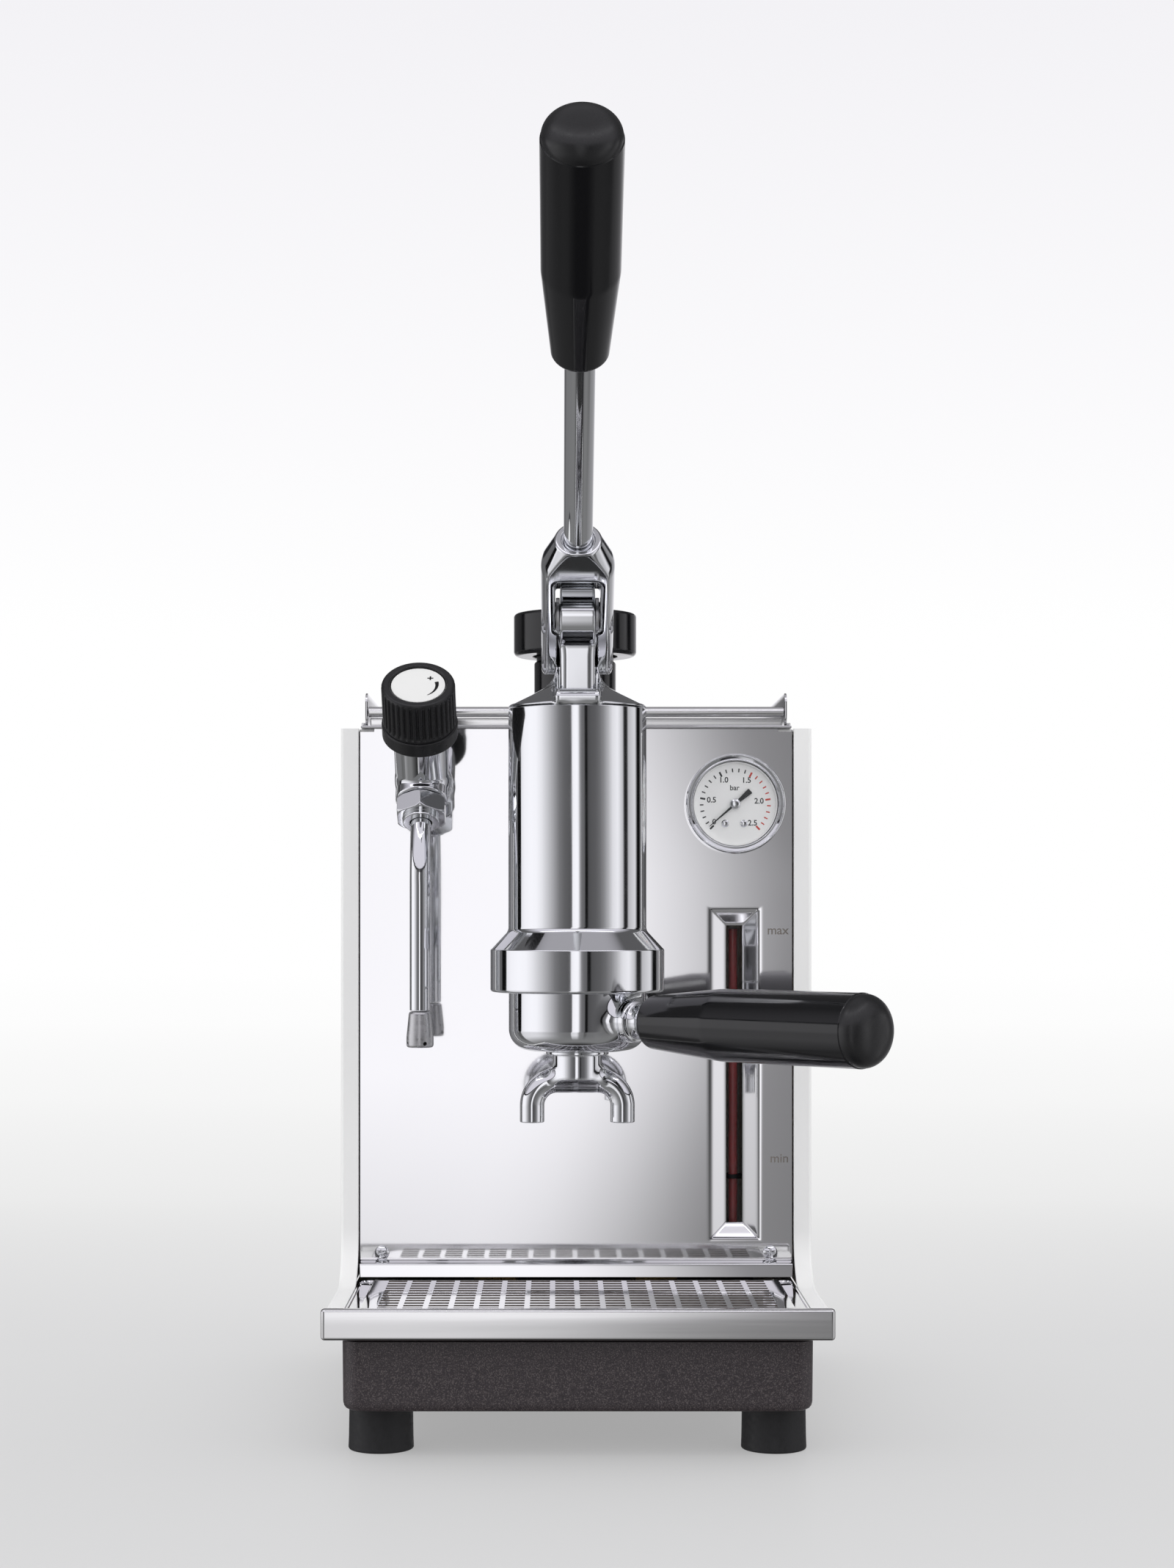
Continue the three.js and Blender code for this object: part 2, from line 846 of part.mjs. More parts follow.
// The heating element's plug closes the hole under the boiler, and its loop stands inside.
function addHeatingElement() {
  const top = boilerBottom - seamGap;
  const plug = barZ(elementFlange, top - flangeHeight, top, midSides);
  const spigot = barZ(elementHole - runningGap, top - flangeHeight / 2, boilerBottom + boilerWall, midSides);
  const start = boilerBottom + boilerWall / 2;
  const loop = new THREE.CurvePath();
  const high = start + elementRise;
  const reach = (elementSpread * 4) / 3;
  loop.add(new THREE.LineCurve3(new THREE.Vector3(-elementSpread, 0, start), new THREE.Vector3(-elementSpread, 0, high)));
  loop.add(
    new THREE.CubicBezierCurve3(
      new THREE.Vector3(-elementSpread, 0, high),
      new THREE.Vector3(-elementSpread, 0, high + reach),
      new THREE.Vector3(elementSpread, 0, high + reach),
      new THREE.Vector3(elementSpread, 0, high),
    ),
  );
  loop.add(new THREE.LineCurve3(new THREE.Vector3(elementSpread, 0, high), new THREE.Vector3(elementSpread, 0, start)));
  const tube = tubeAlong(loop, elementTube, tinySides, midSides);
  const element = join(solidOf(plug), solidOf(spigot), solidOf(tube));
  addPiece(machine, "heating_element", element, brass).position.y = boilerY;
}

function addFiller() {
  const neck = turned(
    [
      [neckBore, lidTop + seamGap],
      [neckRadius, lidTop + seamGap],
      [neckRadius, neckTop],
      [neckBore, neckTop],
      [neckBore, lidTop + seamGap],
    ],
    midSides,
  );
  addPiece(machine, "filler_neck", neck, gloss).position.y = boilerY;
  const sealBottom = neckTop + seamGap;
  const seal = barZ(neckRadius, sealBottom, sealBottom + sealHeight, midSides);
  addPiece(machine, "filler_seal", solidOf(seal), rubber).position.y = boilerY;
  const recess = neckRadius + 2 * runningGap;
  const recessTop = sealBottom + sealHeight + seamGap;
  const cap = turned(
    [
      [recess, capBottom],
      ...roundPoints(capRadius - capDome, capBottom + capDome, capDome, capDome, -90, 0, 2),
      ...roundPoints(capRadius - capDome, capTop - capDome, capDome, capDome, 0, 90, 2),
      [0, capTop],
      [0, recessTop],
      [recess, recessTop],
      [recess, capBottom],
    ],
    fineSides,
  );
  addPiece(machine, "filler_cap", cap, gloss).position.y = boilerY;
}

function addBoilerFittings() {
  const bottom = lidTop + seamGap;
  const safety = turned(
    [
      [0, bottom],
      [valveRadius, bottom],
      [valveRadius, bottom + valveHexHeight],
      [valveCapRadius, bottom + valveHexHeight + valveRadius - valveCapRadius],
      [valveCapRadius, bottom + valveHeight],
      [0, bottom + valveHeight],
    ],
    smallSides,
  );
  addPiece(machine, "safety_valve", safety, brass).position.set(valveOffset, boilerY, 0);

  const near = boilerRadius + seamGap;
  const half = switchBox / 2;
  const body = block([-half, half], [near + switchPipe, near + switchPipe + switchBoxDepth], [-half, half]);
  const pipe = barY(switchPipe, near, near + switchPipe + overrun, smallSides);
  const box = addPiece(machine, "pressure_switch", join(body, solidOf(pipe)), matt);
  box.position.set(0, boilerY, switchBoxZ);
  box.rotation.z = THREE.MathUtils.degToRad(switchTurnDegrees - 90);
}

function addGauge() {
  const can = panelSetback - seamGap;
  const front = bezelFront - panelSetback;
  const recess = bezelRadius - bezelWall;
  const floor = front - dialDepth - dialThickness;
  const caseSolid = turnedToFront(
    [
      [0, -can - gaugeCanDepth],
      [gaugeCanRadius, -can - gaugeCanDepth],
      [gaugeCanRadius, -can],
      [bezelRadius, -can],
      [bezelRadius, front - bezelWall / 2],
      [bezelRadius - bezelWall / 2, front],
      [recess, front],
      [recess, floor],
      [0, floor],
    ],
    fineSides,
    columnX,
    gaugeZ,
  );
  addPiece(machine, "gauge_case", caseSolid, chrome);
  const disc = recess - seamGap;
  const dialBack = floor + seamGap;
  const dialFace = dialBack + dialThickness;
  const dial = solidOf(barY(disc, -dialFace, -dialBack, fineSides).translate(columnX, 0, gaugeZ));
  addPiece(machine, "gauge_dial", dial, dialWhite);
  const glassFront = front - glassDepth;
  const pane = barY(disc, -glassFront, -glassFront + glassThickness, fineSides);
  addPiece(machine, "gauge_glass", solidOf(pane.translate(columnX, 0, gaugeZ)), glass);

  const needle = polygon([
    [-needleTail, -needleWidth],
    [needleHub, -needleWidth / 2],
    [needleLength, 0],
    [needleHub, needleWidth / 2],
    [-needleTail, needleWidth],
  ]);
  const low = dialFace + needleLift;
  const blade = raised(needle, low, low + needleThickness);
  const hub = barZ(needleHub, dialFace + seamGap, low + needleThickness, smallSides);
  const pointer = new THREE.Group();
  pointer.position.set(columnX, 0, gaugeZ);
  pointer.rotation.x = Math.PI / 2;
  machine.add(pointer);
  const mesh = addPiece(pointer, "gauge_needle", join(solidOf(blade), solidOf(hub)), matt);
  mesh.rotation.z = THREE.MathUtils.degToRad(needleRestDegrees);
}

function addSightGlass() {
  const tube = turned(
    [
      [tubeBore, tubeLow],
      [tubeRadius, tubeLow],
      [tubeRadius, tubeHigh],
      [tubeBore, tubeHigh],
      [tubeBore, tubeLow],
    ],
    smallSides,
  );
  addPiece(machine, "sight_tube", tube, glass).position.set(columnX, tubeY, 0);
  const column = barZ(columnRadius, tubeLow, columnTop, tinySides);
  addPiece(machine, "sight_column", solidOf(column), redLiquid).position.set(columnX, tubeY, 0);
  const ringInner = tubeRadius + seamGap;
  const ring = turned(
    [
      [ringInner, ringHeight - ringThickness / 2],
      [ringInner + ringWall, ringHeight - ringThickness / 2],
      [ringInner + ringWall, ringHeight + ringThickness / 2],
      [ringInner, ringHeight + ringThickness / 2],
      [ringInner, ringHeight - ringThickness / 2],
    ],
    smallSides,
  );
  addPiece(machine, "sight_ring", ring, matt).position.set(columnX, tubeY, 0);

  // Each union caps one end of the tube, and its pipe runs to the boiler's wall.
  const away = new THREE.Vector2(-columnX, boilerY - tubeY);
  const pipeEnd = away.length() - boilerRadius - seamGap;
  const direction = Math.atan2(away.y, away.x);
  const ends = [
    ["top", 1, tubeHigh],
    ["bottom", -1, tubeLow],
  ];
  for (const [name, sign, end] of ends) {
    const cup = turned(
      [
        [0, unionSink + seamGap],
        [tubeRadius + seamGap, unionSink + seamGap],
        [tubeRadius + seamGap, 0],
        [unionRadius, 0],
        [unionRadius, unionLength],
        [0, unionLength],
        [0, unionSink + seamGap],
      ],
      smallSides,
    );
    const pipe = barY(unionPipeRadius, 0, pipeEnd, tinySides);
    pipe.translate(0, 0, (unionSink + unionLength) / 2).rotateZ(direction - Math.PI / 2);
    const union = join(cup, solidOf(pipe));
    const start = end - sign * unionSink;
    const mesh = addPiece(machine, `sight_union_${name}`, union, brass);
    mesh.position.set(columnX, tubeY, start);
    if (sign < 0) {
      mesh.rotation.x = Math.PI;
      mesh.rotation.z = -2 * direction;
    }
  }
}

function neckEnd() {
  return boilerY - boilerRadius - bossStand;
}

// The group head: cylinder, flange with the bayonet ledge, and the neck to the boiler.
function addGroupHead() {
  const outer = turned(
    [
      [0, flangeBottom],
      [flangeRadius - flangeChamfer, flangeBottom],
      [flangeRadius, flangeBottom + flangeChamfer],
      [flangeRadius, flangeTop],
      [groupRadius, flangeTop + flangeCone],
      [groupRadius, groupTop - seamGap],
      [0, groupTop - seamGap],
    ],
    fineSides,
  );
  const end = neckEnd() - groupY;
  const neck = solidOf(barY(groupNeckRadius, 0, end, midSides).translate(0, 0, groupNeckZ));
  const collarAt = panelSetback - seamGap - groupY;
  const collar = barY(groupNeckCollar, collarAt - groupNeckCollarWidth, collarAt, midSides);
  const bore = turned(
    [
      [0, flangeBottom - overrun],
      [ledgeRadius, flangeBottom - overrun],
      [ledgeRadius, flangeBottom + ledgeHeight],
      [grooveRadius, flangeBottom + ledgeHeight],
      [grooveRadius, grooveTop],
      [groupBore, grooveTop],
      [groupBore, groupTop + overrun],
      [0, groupTop + overrun],
    ],
    fineSides,
  );
  const passage = barY(neckPassage, 0, end + overrun, smallSides).translate(0, 0, groupNeckZ);
  const ways = [];
  for (const [, sign] of sidesOfMachine) {
    const way = earWedge(grooveRadius, flangeBottom - overrun, flangeBottom + ledgeHeight + overrun, earPlayDegrees);
    way.rotateZ(sign > 0 ? 0 : Math.PI).rotateZ(THREE.MathUtils.degToRad(-lockTurnDegrees));
    ways.push(solidOf(way));
  }
  const head = cut(join(outer, neck, solidOf(collar.translate(0, 0, groupNeckZ))), bore, solidOf(passage), ...ways);
  addPiece(machine, "group_head", head, chrome).position.y = groupY;

  const gasketTop = grooveTop - seamGap;
  const gasketBottom = gasketTop - gasketHeight;
  const gasketOuter = grooveRadius - seamGap;
  const gasket = turned(
    [
      [gasketBore, gasketBottom],
      [gasketOuter, gasketBottom],
      [gasketOuter, gasketTop],
      [gasketBore, gasketTop],
      [gasketBore, gasketBottom],
    ],
    midSides,
  );
  addPiece(machine, "group_gasket", gasket, rubber).position.y = groupY;
  const screenRadius = gasketBore - seamGap;
  const screen = turned(
    [
      [0, gasketTop - screenHeight - sheet],
      [screenScrew, gasketTop - screenHeight - sheet],
      [screenScrew, gasketTop - screenHeight],
      [screenRadius, gasketTop - screenHeight],
      [screenRadius, gasketTop],
      [0, gasketTop],
    ],
    midSides,
  );
  addPiece(machine, "shower_screen", screen, satin).position.y = groupY;
}

// A wedge about the X axis, as wide as one bayonet ear and some play.
function earWedge(radius, low, high, playDegrees) {
  const half = THREE.MathUtils.degToRad(earSpreadDegrees / 2 + playDegrees);
  const outline = new THREE.Shape();
  outline.moveTo(0, 0);
  outline.lineTo(radius * Math.cos(half), -radius * Math.sin(half));
  outline.absarc(0, 0, radius, -half, half, false);
  outline.closePath();
  return raised(outline, low, high);
}

// The cap closes the cylinder: low cone, slot for the con-rod, and the lug of the fulcrum.
function addGroupCap() {
  const cone = turned(
    [
      [0, groupTop - capSpigot],
      [groupBore - runningGap, groupTop - capSpigot],
      [groupBore - runningGap, groupTop],
      [groupRadius, groupTop],
      [groupRadius, groupTop + capRimHeight],
      [capTopRadius, capConeTop],
      [0, capConeTop],
    ],
    fineSides,
  );
  const lugHalf = forkSlotWidth / 2 - runningGap;
  const lugY = fulcrumY - groupY;
  const toe = barX(toeRadius, capSlotWidth / 2, smallSides);
  toe.translate(0, -capSlotFront - toeRadius / 2, groupTop + toeRadius);
  const lugFoot = block([-lugHalf, lugHalf], [lugY - lugRadius, lugY + lugRadius], [groupTop + capRimHeight, fulcrumZ]);
  const lugTop = barX(lugRadius, lugHalf, midSides).translate(0, lugY, fulcrumZ);
  const slot = block(
    [-capSlotWidth / 2, capSlotWidth / 2],
    [-capSlotFront, lugY - lugRadius],
    [groupTop - capSpigot - overrun, capConeTop + overrun],
  );
  const bore = barX(pinRadius + runningGap, lugHalf + overrun, smallSides).translate(0, lugY, fulcrumZ);
  const cap = cut(join(cone, solidOf(toe), lugFoot, solidOf(lugTop)), slot, solidOf(bore));
  addPiece(machine, "group_cap", cap, chrome).position.y = groupY;
}

// A cross pin with a clip at each end.
function crossPin() {
  const clipStart = forkRadius + seamGap;
  const half = clipStart + 2 * pinClip;
  const clips = sidesOfMachine.map(([, sign]) => {
    const clip = barX(pinClipRadius, pinClip / 2, smallSides);
    return solidOf(clip.translate(sign * (clipStart + pinClip / 2), 0, 0));
  });
  return join(solidOf(barX(pinRadius, half, smallSides)), ...clips);
}

// The fork is turned, milled flat on two sides, slotted, and rounded about the fulcrum.
function addLever() {
  const lever = groupAt(machine, 0, fulcrumY, fulcrumZ, leverTurn);
  const blank = turned(
    [
      [0, -forkFlat],
      [forkRadius, -forkFlat],
      [forkRadius, forkShoulder],
      [forkTopRadius, forkTop],
      [0, forkTop],
    ],
    fineSides,
  );
  const side = new THREE.Shape();
  side.absarc(0, 0, forkFlat, Math.PI, 2 * Math.PI, false);
  side.lineTo(forkFlat, forkTop + overrun);
  side.lineTo(-forkFlat, forkTop + overrun);
  side.closePath();
  const slab = solidOf(carriedX(side, -forkRadius - overrun, forkRadius + overrun, tinySides));
  const slotHalf = forkSlotWidth / 2;
  const slot = block([-slotHalf, slotHalf], [-forkRadius, forkRadius], [-forkRadius, forkSlotEnd]);
  const holes = [0, pinSpacing].map((z) => {
    return solidOf(barX(pinRadius + runningGap, forkRadius + overrun, smallSides).translate(0, 0, z));
  });
  const seat = barZ(leverRodRadius + seamGap, forkTop - rodSeat, forkTop + overrun, midSides);
  const fork = cut(blank.intersect(slab), slot, ...holes, solidOf(seat));
  addPiece(lever, "lever_fork", fork, chrome);
  addPiece(lever, "fulcrum_pin", crossPin(), satin);
  addPiece(lever, "rod_pin", crossPin(), satin).position.z = pinSpacing;

  const rodEnd = gripStart + gripSeat;
  const rod = barZ(leverRodRadius, forkTop - rodSeat + seamGap, rodEnd, midSides);
  addPiece(lever, "lever_rod", solidOf(rod), chrome);
  addPiece(lever, "lever_grip", gripSolid(gripStart, gripTaperEnd, gripEnd, rodEnd, leverRodRadius), gloss);
}

// A grip: rounded small end with the seat of its rod, a long taper, a straight stretch, a dome.
function gripSolid(start, taperEnd, end, seatEnd, seatRadius) {
  const seat = seatRadius + seamGap;
  return turned(
    [
      [seat, start],
      ...roundPoints(gripSmall - gripRound, start + gripRound, gripRound, gripRound, -90, 0, 3),
      [gripLarge, taperEnd],
      ...roundPoints(0, end, gripLarge, gripDome, 0, 90),
      [0, seatEnd + seamGap],
      [seat, seatEnd + seamGap],
      [seat, start],
    ],
    midSides,
  );
}

// The con-rod hangs from its pin in the fork, and carries the wrist pin at its foot.
function addConRod() {
  const along = new THREE.Vector2(-Math.cos(THREE.MathUtils.degToRad(leverElevation)), Math.sin(THREE.MathUtils.degToRad(leverElevation)));
  const pinY = fulcrumY + along.x * pinSpacing;
  const pinZ = fulcrumZ + along.y * pinSpacing;
  const rod = groupAt(machine, 0, pinY, pinZ, THREE.MathUtils.degToRad(conRodTilt));
  const eye = solidOf(barX(eyeRadius, eyeWidth / 2, midSides));
  const bar = block(
    [-barWidth / 2, barWidth / 2],
    [-barThickness / 2, barThickness / 2],
    [-conRodLength, -eyeRadius + barThickness / 2],
  );
  const foot = solidOf(barX(wristEye, eyeWidth / 2, smallSides).translate(0, 0, -conRodLength));
  const wrist = solidOf(barX(wristPin, wristPinReach, smallSides).translate(0, 0, -conRodLength));
  const hole = barX(pinRadius + runningGap, barWidth, smallSides);
  addPiece(rod, "con_rod", cut(join(eye, bar, foot, wrist), solidOf(hole)), chrome);
}

function addPiston() {
  const lows = [pistonBottom + sealLowOffset, pistonBottom + sealHighOffset];
  const grooved = lows.flatMap((low) => [
    [pistonRadius, low],
    [pistonRadius - sealDepth, low],
    [pistonRadius - sealDepth, low + sealGroove],
    [pistonRadius, low + sealGroove],
  ]);
  const piston = turned(
    [
      [0, pistonBottom],
      [pistonRadius, pistonBottom],
      ...grooved,
      [pistonRadius, pistonTop],
      [pistonCup, pistonTop],
      [pistonCup, pistonFloor],
      [0, pistonFloor],
    ],
    midSides,
  );
  addPiece(machine, "piston", piston, brass).position.y = groupY;
  lows.forEach((low, i) => {
    const inner = pistonRadius - sealDepth + seamGap;
    const outer = pistonRadius + sealProud;
    const seal = turned(
      [
        [inner, low + seamGap],
        [outer, low + seamGap],
        [outer, low + sealGroove - seamGap],
        [inner, low + sealGroove - seamGap],
        [inner, low + seamGap],
      ],
      midSides,
    );
    addPiece(machine, `piston_seal_${i === 0 ? "lower" : "upper"}`, seal, rubber).position.y = groupY;
  });
}

function addPortafilter() {
  const holder = groupAt(machine, 0, groupY, 0);
  const rimTopZ = flangeBottom + holderRise;
  const cavity = holderRadius - holderWall;
  const flareEnd = holderRadius - flareSink + flareLength;
  const inset = holderRadius - holderRound;
  const arc = roundPoints(inset, holderBottom + holderRound, holderRound, holderRound, -90, 0);
  const outer = turned([[0, holderBottom], ...arc, [holderRadius, rimTopZ], [0, rimTopZ]], fineSides);
  const ears = sidesOfMachine.map(([, sign]) => {
    const low = flangeBottom + ledgeHeight + seamGap;
    const ear = earWedge(holderRadius + earReach, low, low + earHeight, 0);
    return solidOf(ear.rotateZ(sign > 0 ? 0 : Math.PI));
  });
  const armTurn = THREE.MathUtils.degToRad(handleAzimuth);
  const toHandle = (shape) => shape.rotateY(Math.PI / 2).rotateZ(armTurn).translate(0, 0, handleZ);
  const arm = turnedShape(
    [
      [0, cavity],
      [armRadius + flareReach, cavity],
      ...roundPoints(armRadius + flareReach, flareEnd, -flareReach, -flareLength, 90, 0, 3),
      [armRadius, ferruleEnd - seamGap],
      [0, ferruleEnd - seamGap],
    ],
    midSides,
  );
  const stud = barZ(studRadius, cavity, ferruleEnd + gripSeat, smallSides);
  const floor = holderBottom + 2 * holderWall;
  const hollow = turned(
    [
      [0, floor],
      [cavity - cavityRound, floor],
      [cavity, floor + cavityRound],
      [cavity, rimTopZ + overrun],
      [0, rimTopZ + overrun],
    ],
    fineSides,
  );
  const drain = barZ(spoutThread + runningGap, holderBottom - overrun, floor + overrun, smallSides);
  const solids = [outer, ...ears, solidOf(toHandle(arm)), solidOf(toHandle(stud))];
  addPiece(holder, "portafilter_body", cut(join(...solids), hollow, solidOf(drain)), chrome);

  const studEnd = ferruleEnd + gripSeat;
  const grip = gripSolid(ferruleEnd, handleTaperEnd, handleEnd, studEnd, studRadius);
  const frame = new THREE.Group();
  frame.position.z = handleZ;
  frame.rotation.z = armTurn;
  holder.add(frame);
  addPiece(frame, "portafilter_handle", grip, gloss).rotation.y = Math.PI / 2;

  // The basket hangs by its rim on the holder's top edge.
  const seat = rimTopZ + seamGap;
  const rim = Math.min(seat + basketRim, grooveTop - seamGap - gasketHeight) - seamGap;
  const inner = basketRadius - basketWall;
  const basket = turned(
    [
      [0, seat - basketDepth],
      [basketRadius, seat - basketDepth],
      [basketRadius, seat],
      [holderRadius - seamGap, seat],
      [holderRadius - seamGap, rim],
      [inner, rim],
      [inner, seat - basketDepth + basketWall],
      [0, seat - basketDepth + basketWall],
    ],
    midSides,
  );
  addPiece(holder, "filter_basket", basket, satin);
  addSpout(holder);
}

// The twin spout screws into the holder: washer, stem, and two tubes that turn down.
function addSpout(holder) {
  const top = holderBottom - seamGap;
  const washer = barZ(washerRadius, top - washerHeight, top, midSides);
  const stemBottom = top - washerHeight - spoutStemLength;
  const stem = barZ(spoutStem, stemBottom, top - washerHeight / 2, midSides);
  const thread = barZ(spoutThread, top - washerHeight, top + holderWall, smallSides);
  const tubes = sidesOfMachine.map(([, sign]) => {
    const point = (x, z) => new THREE.Vector3(sign * x, 0, z);
    const level = stemBottom;
    const path = new THREE.CurvePath();
    const bendStart = point(spoutSpread - spoutBend, level);
    const bendEnd = point(spoutSpread, level - spoutBend);
    path.add(new THREE.LineCurve3(point(0, level), bendStart));
    path.add(bendBetween(bendStart, point(spoutSpread, level), bendEnd));
    path.add(new THREE.LineCurve3(bendEnd, point(spoutSpread, spoutBottom)));
    return solidOf(tubeAlong(path, spoutTube, smallSides, smallSides));
  });
  const bores = sidesOfMachine.map(([, sign]) => {
    const bore = barZ(spoutBore, spoutBottom - overrun, spoutBottom + spoutTube, tinySides);
    return solidOf(bore.translate(sign * spoutSpread, 0, 0));
  });
  const spout = cut(join(solidOf(washer), solidOf(stem), solidOf(thread), ...tubes), ...bores);
  addPiece(holder, "portafilter_spout", spout, chrome);
}

function addSteamValve() {
  const stubEnd = panelSetback - seamGap - steamY;
  const neckBack = stubEnd + panelFoldReach;
  const upBody = barZ(steamBodyRadius, 0, steamBodyUp, midSides).rotateX(steamTurn);
  const ball = new THREE.SphereGeometry(steamBall, smallSides, tinySides);
  const stub = barY(steamStub, 0, neckBack, smallSides);
  const collar = barY(steamCollar, stubEnd - steamCollarWidth, stubEnd, midSides);
  const boss = barZ(outletBoss, -outletBossLength, 0, midSides).rotateX(outletTurn);
  const bore = barZ(steamBore, stemStart - seamGap, steamBodyUp + overrun, smallSides).rotateX(steamTurn);
  const outlet = barZ(wandRadius + runningGap, -outletBossLength - overrun, -outletBossLength + nutLength / 2, smallSides);
  const solids = [upBody, ball, stub, collar, boss].map(solidOf);
  const body = cut(join(...solids), solidOf(bore), solidOf(outlet.rotateX(outletTurn)));
  addPiece(machine, "steam_valve_body", body, chrome).position.set(steamX, steamY, steamZ);

  const axis = groupAt(machine, steamX, steamY, steamZ, steamTurn);
  const stem = barZ(stemRadius, stemStart, stemReach, smallSides);
  addPiece(axis, "steam_stem", solidOf(stem), satin);
  addPiece(axis, "steam_knob", knobSolid(), matt);
  const discTop = steamBodyUp + seamGap + knobLength;
  const disc = barZ(discRadius, discTop - discThickness, discTop, midSides);
  addPiece(axis, "steam_knob_disc", solidOf(disc), satin);

  const outletAxis = groupAt(machine, steamX, steamY, steamZ, outletTurn);
  addWand(outletAxis);
}

// The knob: ribbed barrel over a plain band, with a recess for its silver disc.
function knobSolid() {
  const low = steamBodyUp + seamGap;
  const high = low + knobLength;
  const outline = new THREE.Shape();
  for (let i = 0; i < knobRibs; i += 1) {
    ribShares.forEach(([share, depthShare], k) => {
      const r = knobRadius - depthShare * knobRibDepth;
      const turn = ((i + share) / knobRibs) * 2 * Math.PI;
      const x = r * Math.cos(turn);
      const y = r * Math.sin(turn);
      if (i === 0 && k === 0) outline.moveTo(x, y);
      else outline.lineTo(x, y);
    });
  }
  outline.closePath();
  const barrel = solidOf(raised(outline, low + knobBand / 2, high - knobCrown));
  const inner = knobRadius - knobRibDepth;
  const band = solidOf(barZ(knobBandRadius, low, low + knobBand, midSides));
  const crown = turned(
    [
      [0, high - 2 * knobCrown],
      [inner, high - 2 * knobCrown],
      ...roundPoints(inner - knobCrown, high - knobCrown, knobCrown, knobCrown, 0, 90, 3),
      [0, high],
    ],
    midSides,
  );
  const recess = barZ(discRadius + seamGap, high - discThickness - seamGap, high + overrun, midSides);
  const bore = barZ(stemRadius + seamGap, low - overrun, stemReach + seamGap, smallSides);
  return cut(join(barrel, band, crown), solidOf(recess), solidOf(bore));
}

// The wand leaves its nut on the outlet's slant, then bends to hang straight down.
function addWand(outletAxis) {
  const nutTop = -outletBossLength - seamGap;
  const nutRadius = nutAcross / 2 / Math.cos(Math.PI / nutSides);
  const hex = barZ(nutRadius, nutTop - nutLength, nutTop, nutSides);
  const collar = barZ(nutCollar, nutTop - nutLength - nutCollarLength, nutTop - nutLength / 2, midSides);
  const hole = barZ(wandRadius + runningGap, nutTop - nutLength - overrun, nutTop + overrun, smallSides);
  addPiece(outletAxis, "wand_nut", cut(join(solidOf(hex), solidOf(collar)), solidOf(hole)), chrome);

  const slant = THREE.MathUtils.degToRad(outletDegrees);
  const along = new THREE.Vector3(0, -Math.cos(slant), -Math.sin(slant));
  const origin = new THREE.Vector3(steamX, steamY, steamZ);
  const from = origin.clone().addScaledVector(along, outletBossLength);
  const knee = origin.clone().addScaledVector(along, outletBossLength + wandStraight);
  const down = new THREE.Vector3(0, 0, -1);
  const bendStart = knee.clone().addScaledVector(along, -wandBend);
  const bendEnd = knee.clone().addScaledVector(down, wandBend);
  const path = new THREE.CurvePath();
  path.add(new THREE.LineCurve3(from, bendStart));
  path.add(bendBetween(bendStart, knee, bendEnd));
  path.add(new THREE.LineCurve3(bendEnd, bendEnd.clone().setZ(wandEnd)));
  const tube = tubeAlong(path, wandRadius, smallSides, 2 * tinySides);
  addPiece(machine, "steam_wand", solidOf(tube), chrome);
  const tip = turned(
    [
      [0, tipBottom],
      ...roundPoints(tipRadius - tipRound, tipBottom + tipRound, tipRound, tipRound, -90, 0, 2),
      [tipRadius, tipBottom + tipFlare],
      [tipTopRadius, wandEnd - seamGap],
      [0, wandEnd - seamGap],
    ],
    smallSides,
  );
  addPiece(machine, "wand_tip", tip, satin).position.set(knee.x, knee.y, 0);
}

// The drip tray slides on the tub's rim, and its lip closes the front of the arms.
function addDripTray() {
  const lipBack = -armReach - seamGap;
  const lipFront = lipBack - lipThickness;
  const lipOutline = roundedOutline(lipFront, sideBottom, lipBack, sideBottom + lipHeight, lipRound);
  const lip = solidOf(carriedX(lipOutline, -halfBody, halfBody));
  const back = -trayBack;
  const rim = block([-rimHalf, rimHalf], [lipBack - lipThickness / 2, back], [rimTop - sheet, rimTop]);
  const basin = block([-basinHalf, basinHalf], [lipBack - lipThickness / 2, back], [sideBottom, rimTop]);
  const hollow = block(
    [-basinHalf + basinWall, basinHalf - basinWall],
    [lipBack + basinFront, back - basinWall],
    [sideBottom + basinWall, rimTop + overrun],
  );
  addPiece(machine, "drip_tray", cut(join(lip, rim, basin), hollow), polished);

  const front = lipBack + grateFront;
  const rear = back - grateBack;
  const outline = roundedOutline(-grateHalf, front, grateHalf, rear, grateCorner);
  const pitchY = (rear - front - 2 * slotMargin) / slotRows;
  const slotLength = slotPitch * slotLengthShare;
  const slotDepth = pitchY * slotDepthShare;
  const slots = [];
  for (let column = 0; column < slotColumns; column += 1) {
    const x = (column - (slotColumns - 1) / 2) * slotPitch;
    for (let row = 0; row < slotRows; row += 1) {
      const y = front + slotMargin + (row + 1 / 2) * pitchY;
      const xs = [x - slotLength / 2, x + slotLength / 2];
      const ys = [y - slotDepth / 2, y + slotDepth / 2];
      slots.push(block(xs, ys, [gratePlane - overrun, gratePlane + overrun]));
    }
  }
  const plate = solidOf(raised(outline, gratePlane, gratePlane + grateThickness));
  addPiece(machine, "drip_grate", cut(plate, ...slots), polished);
}

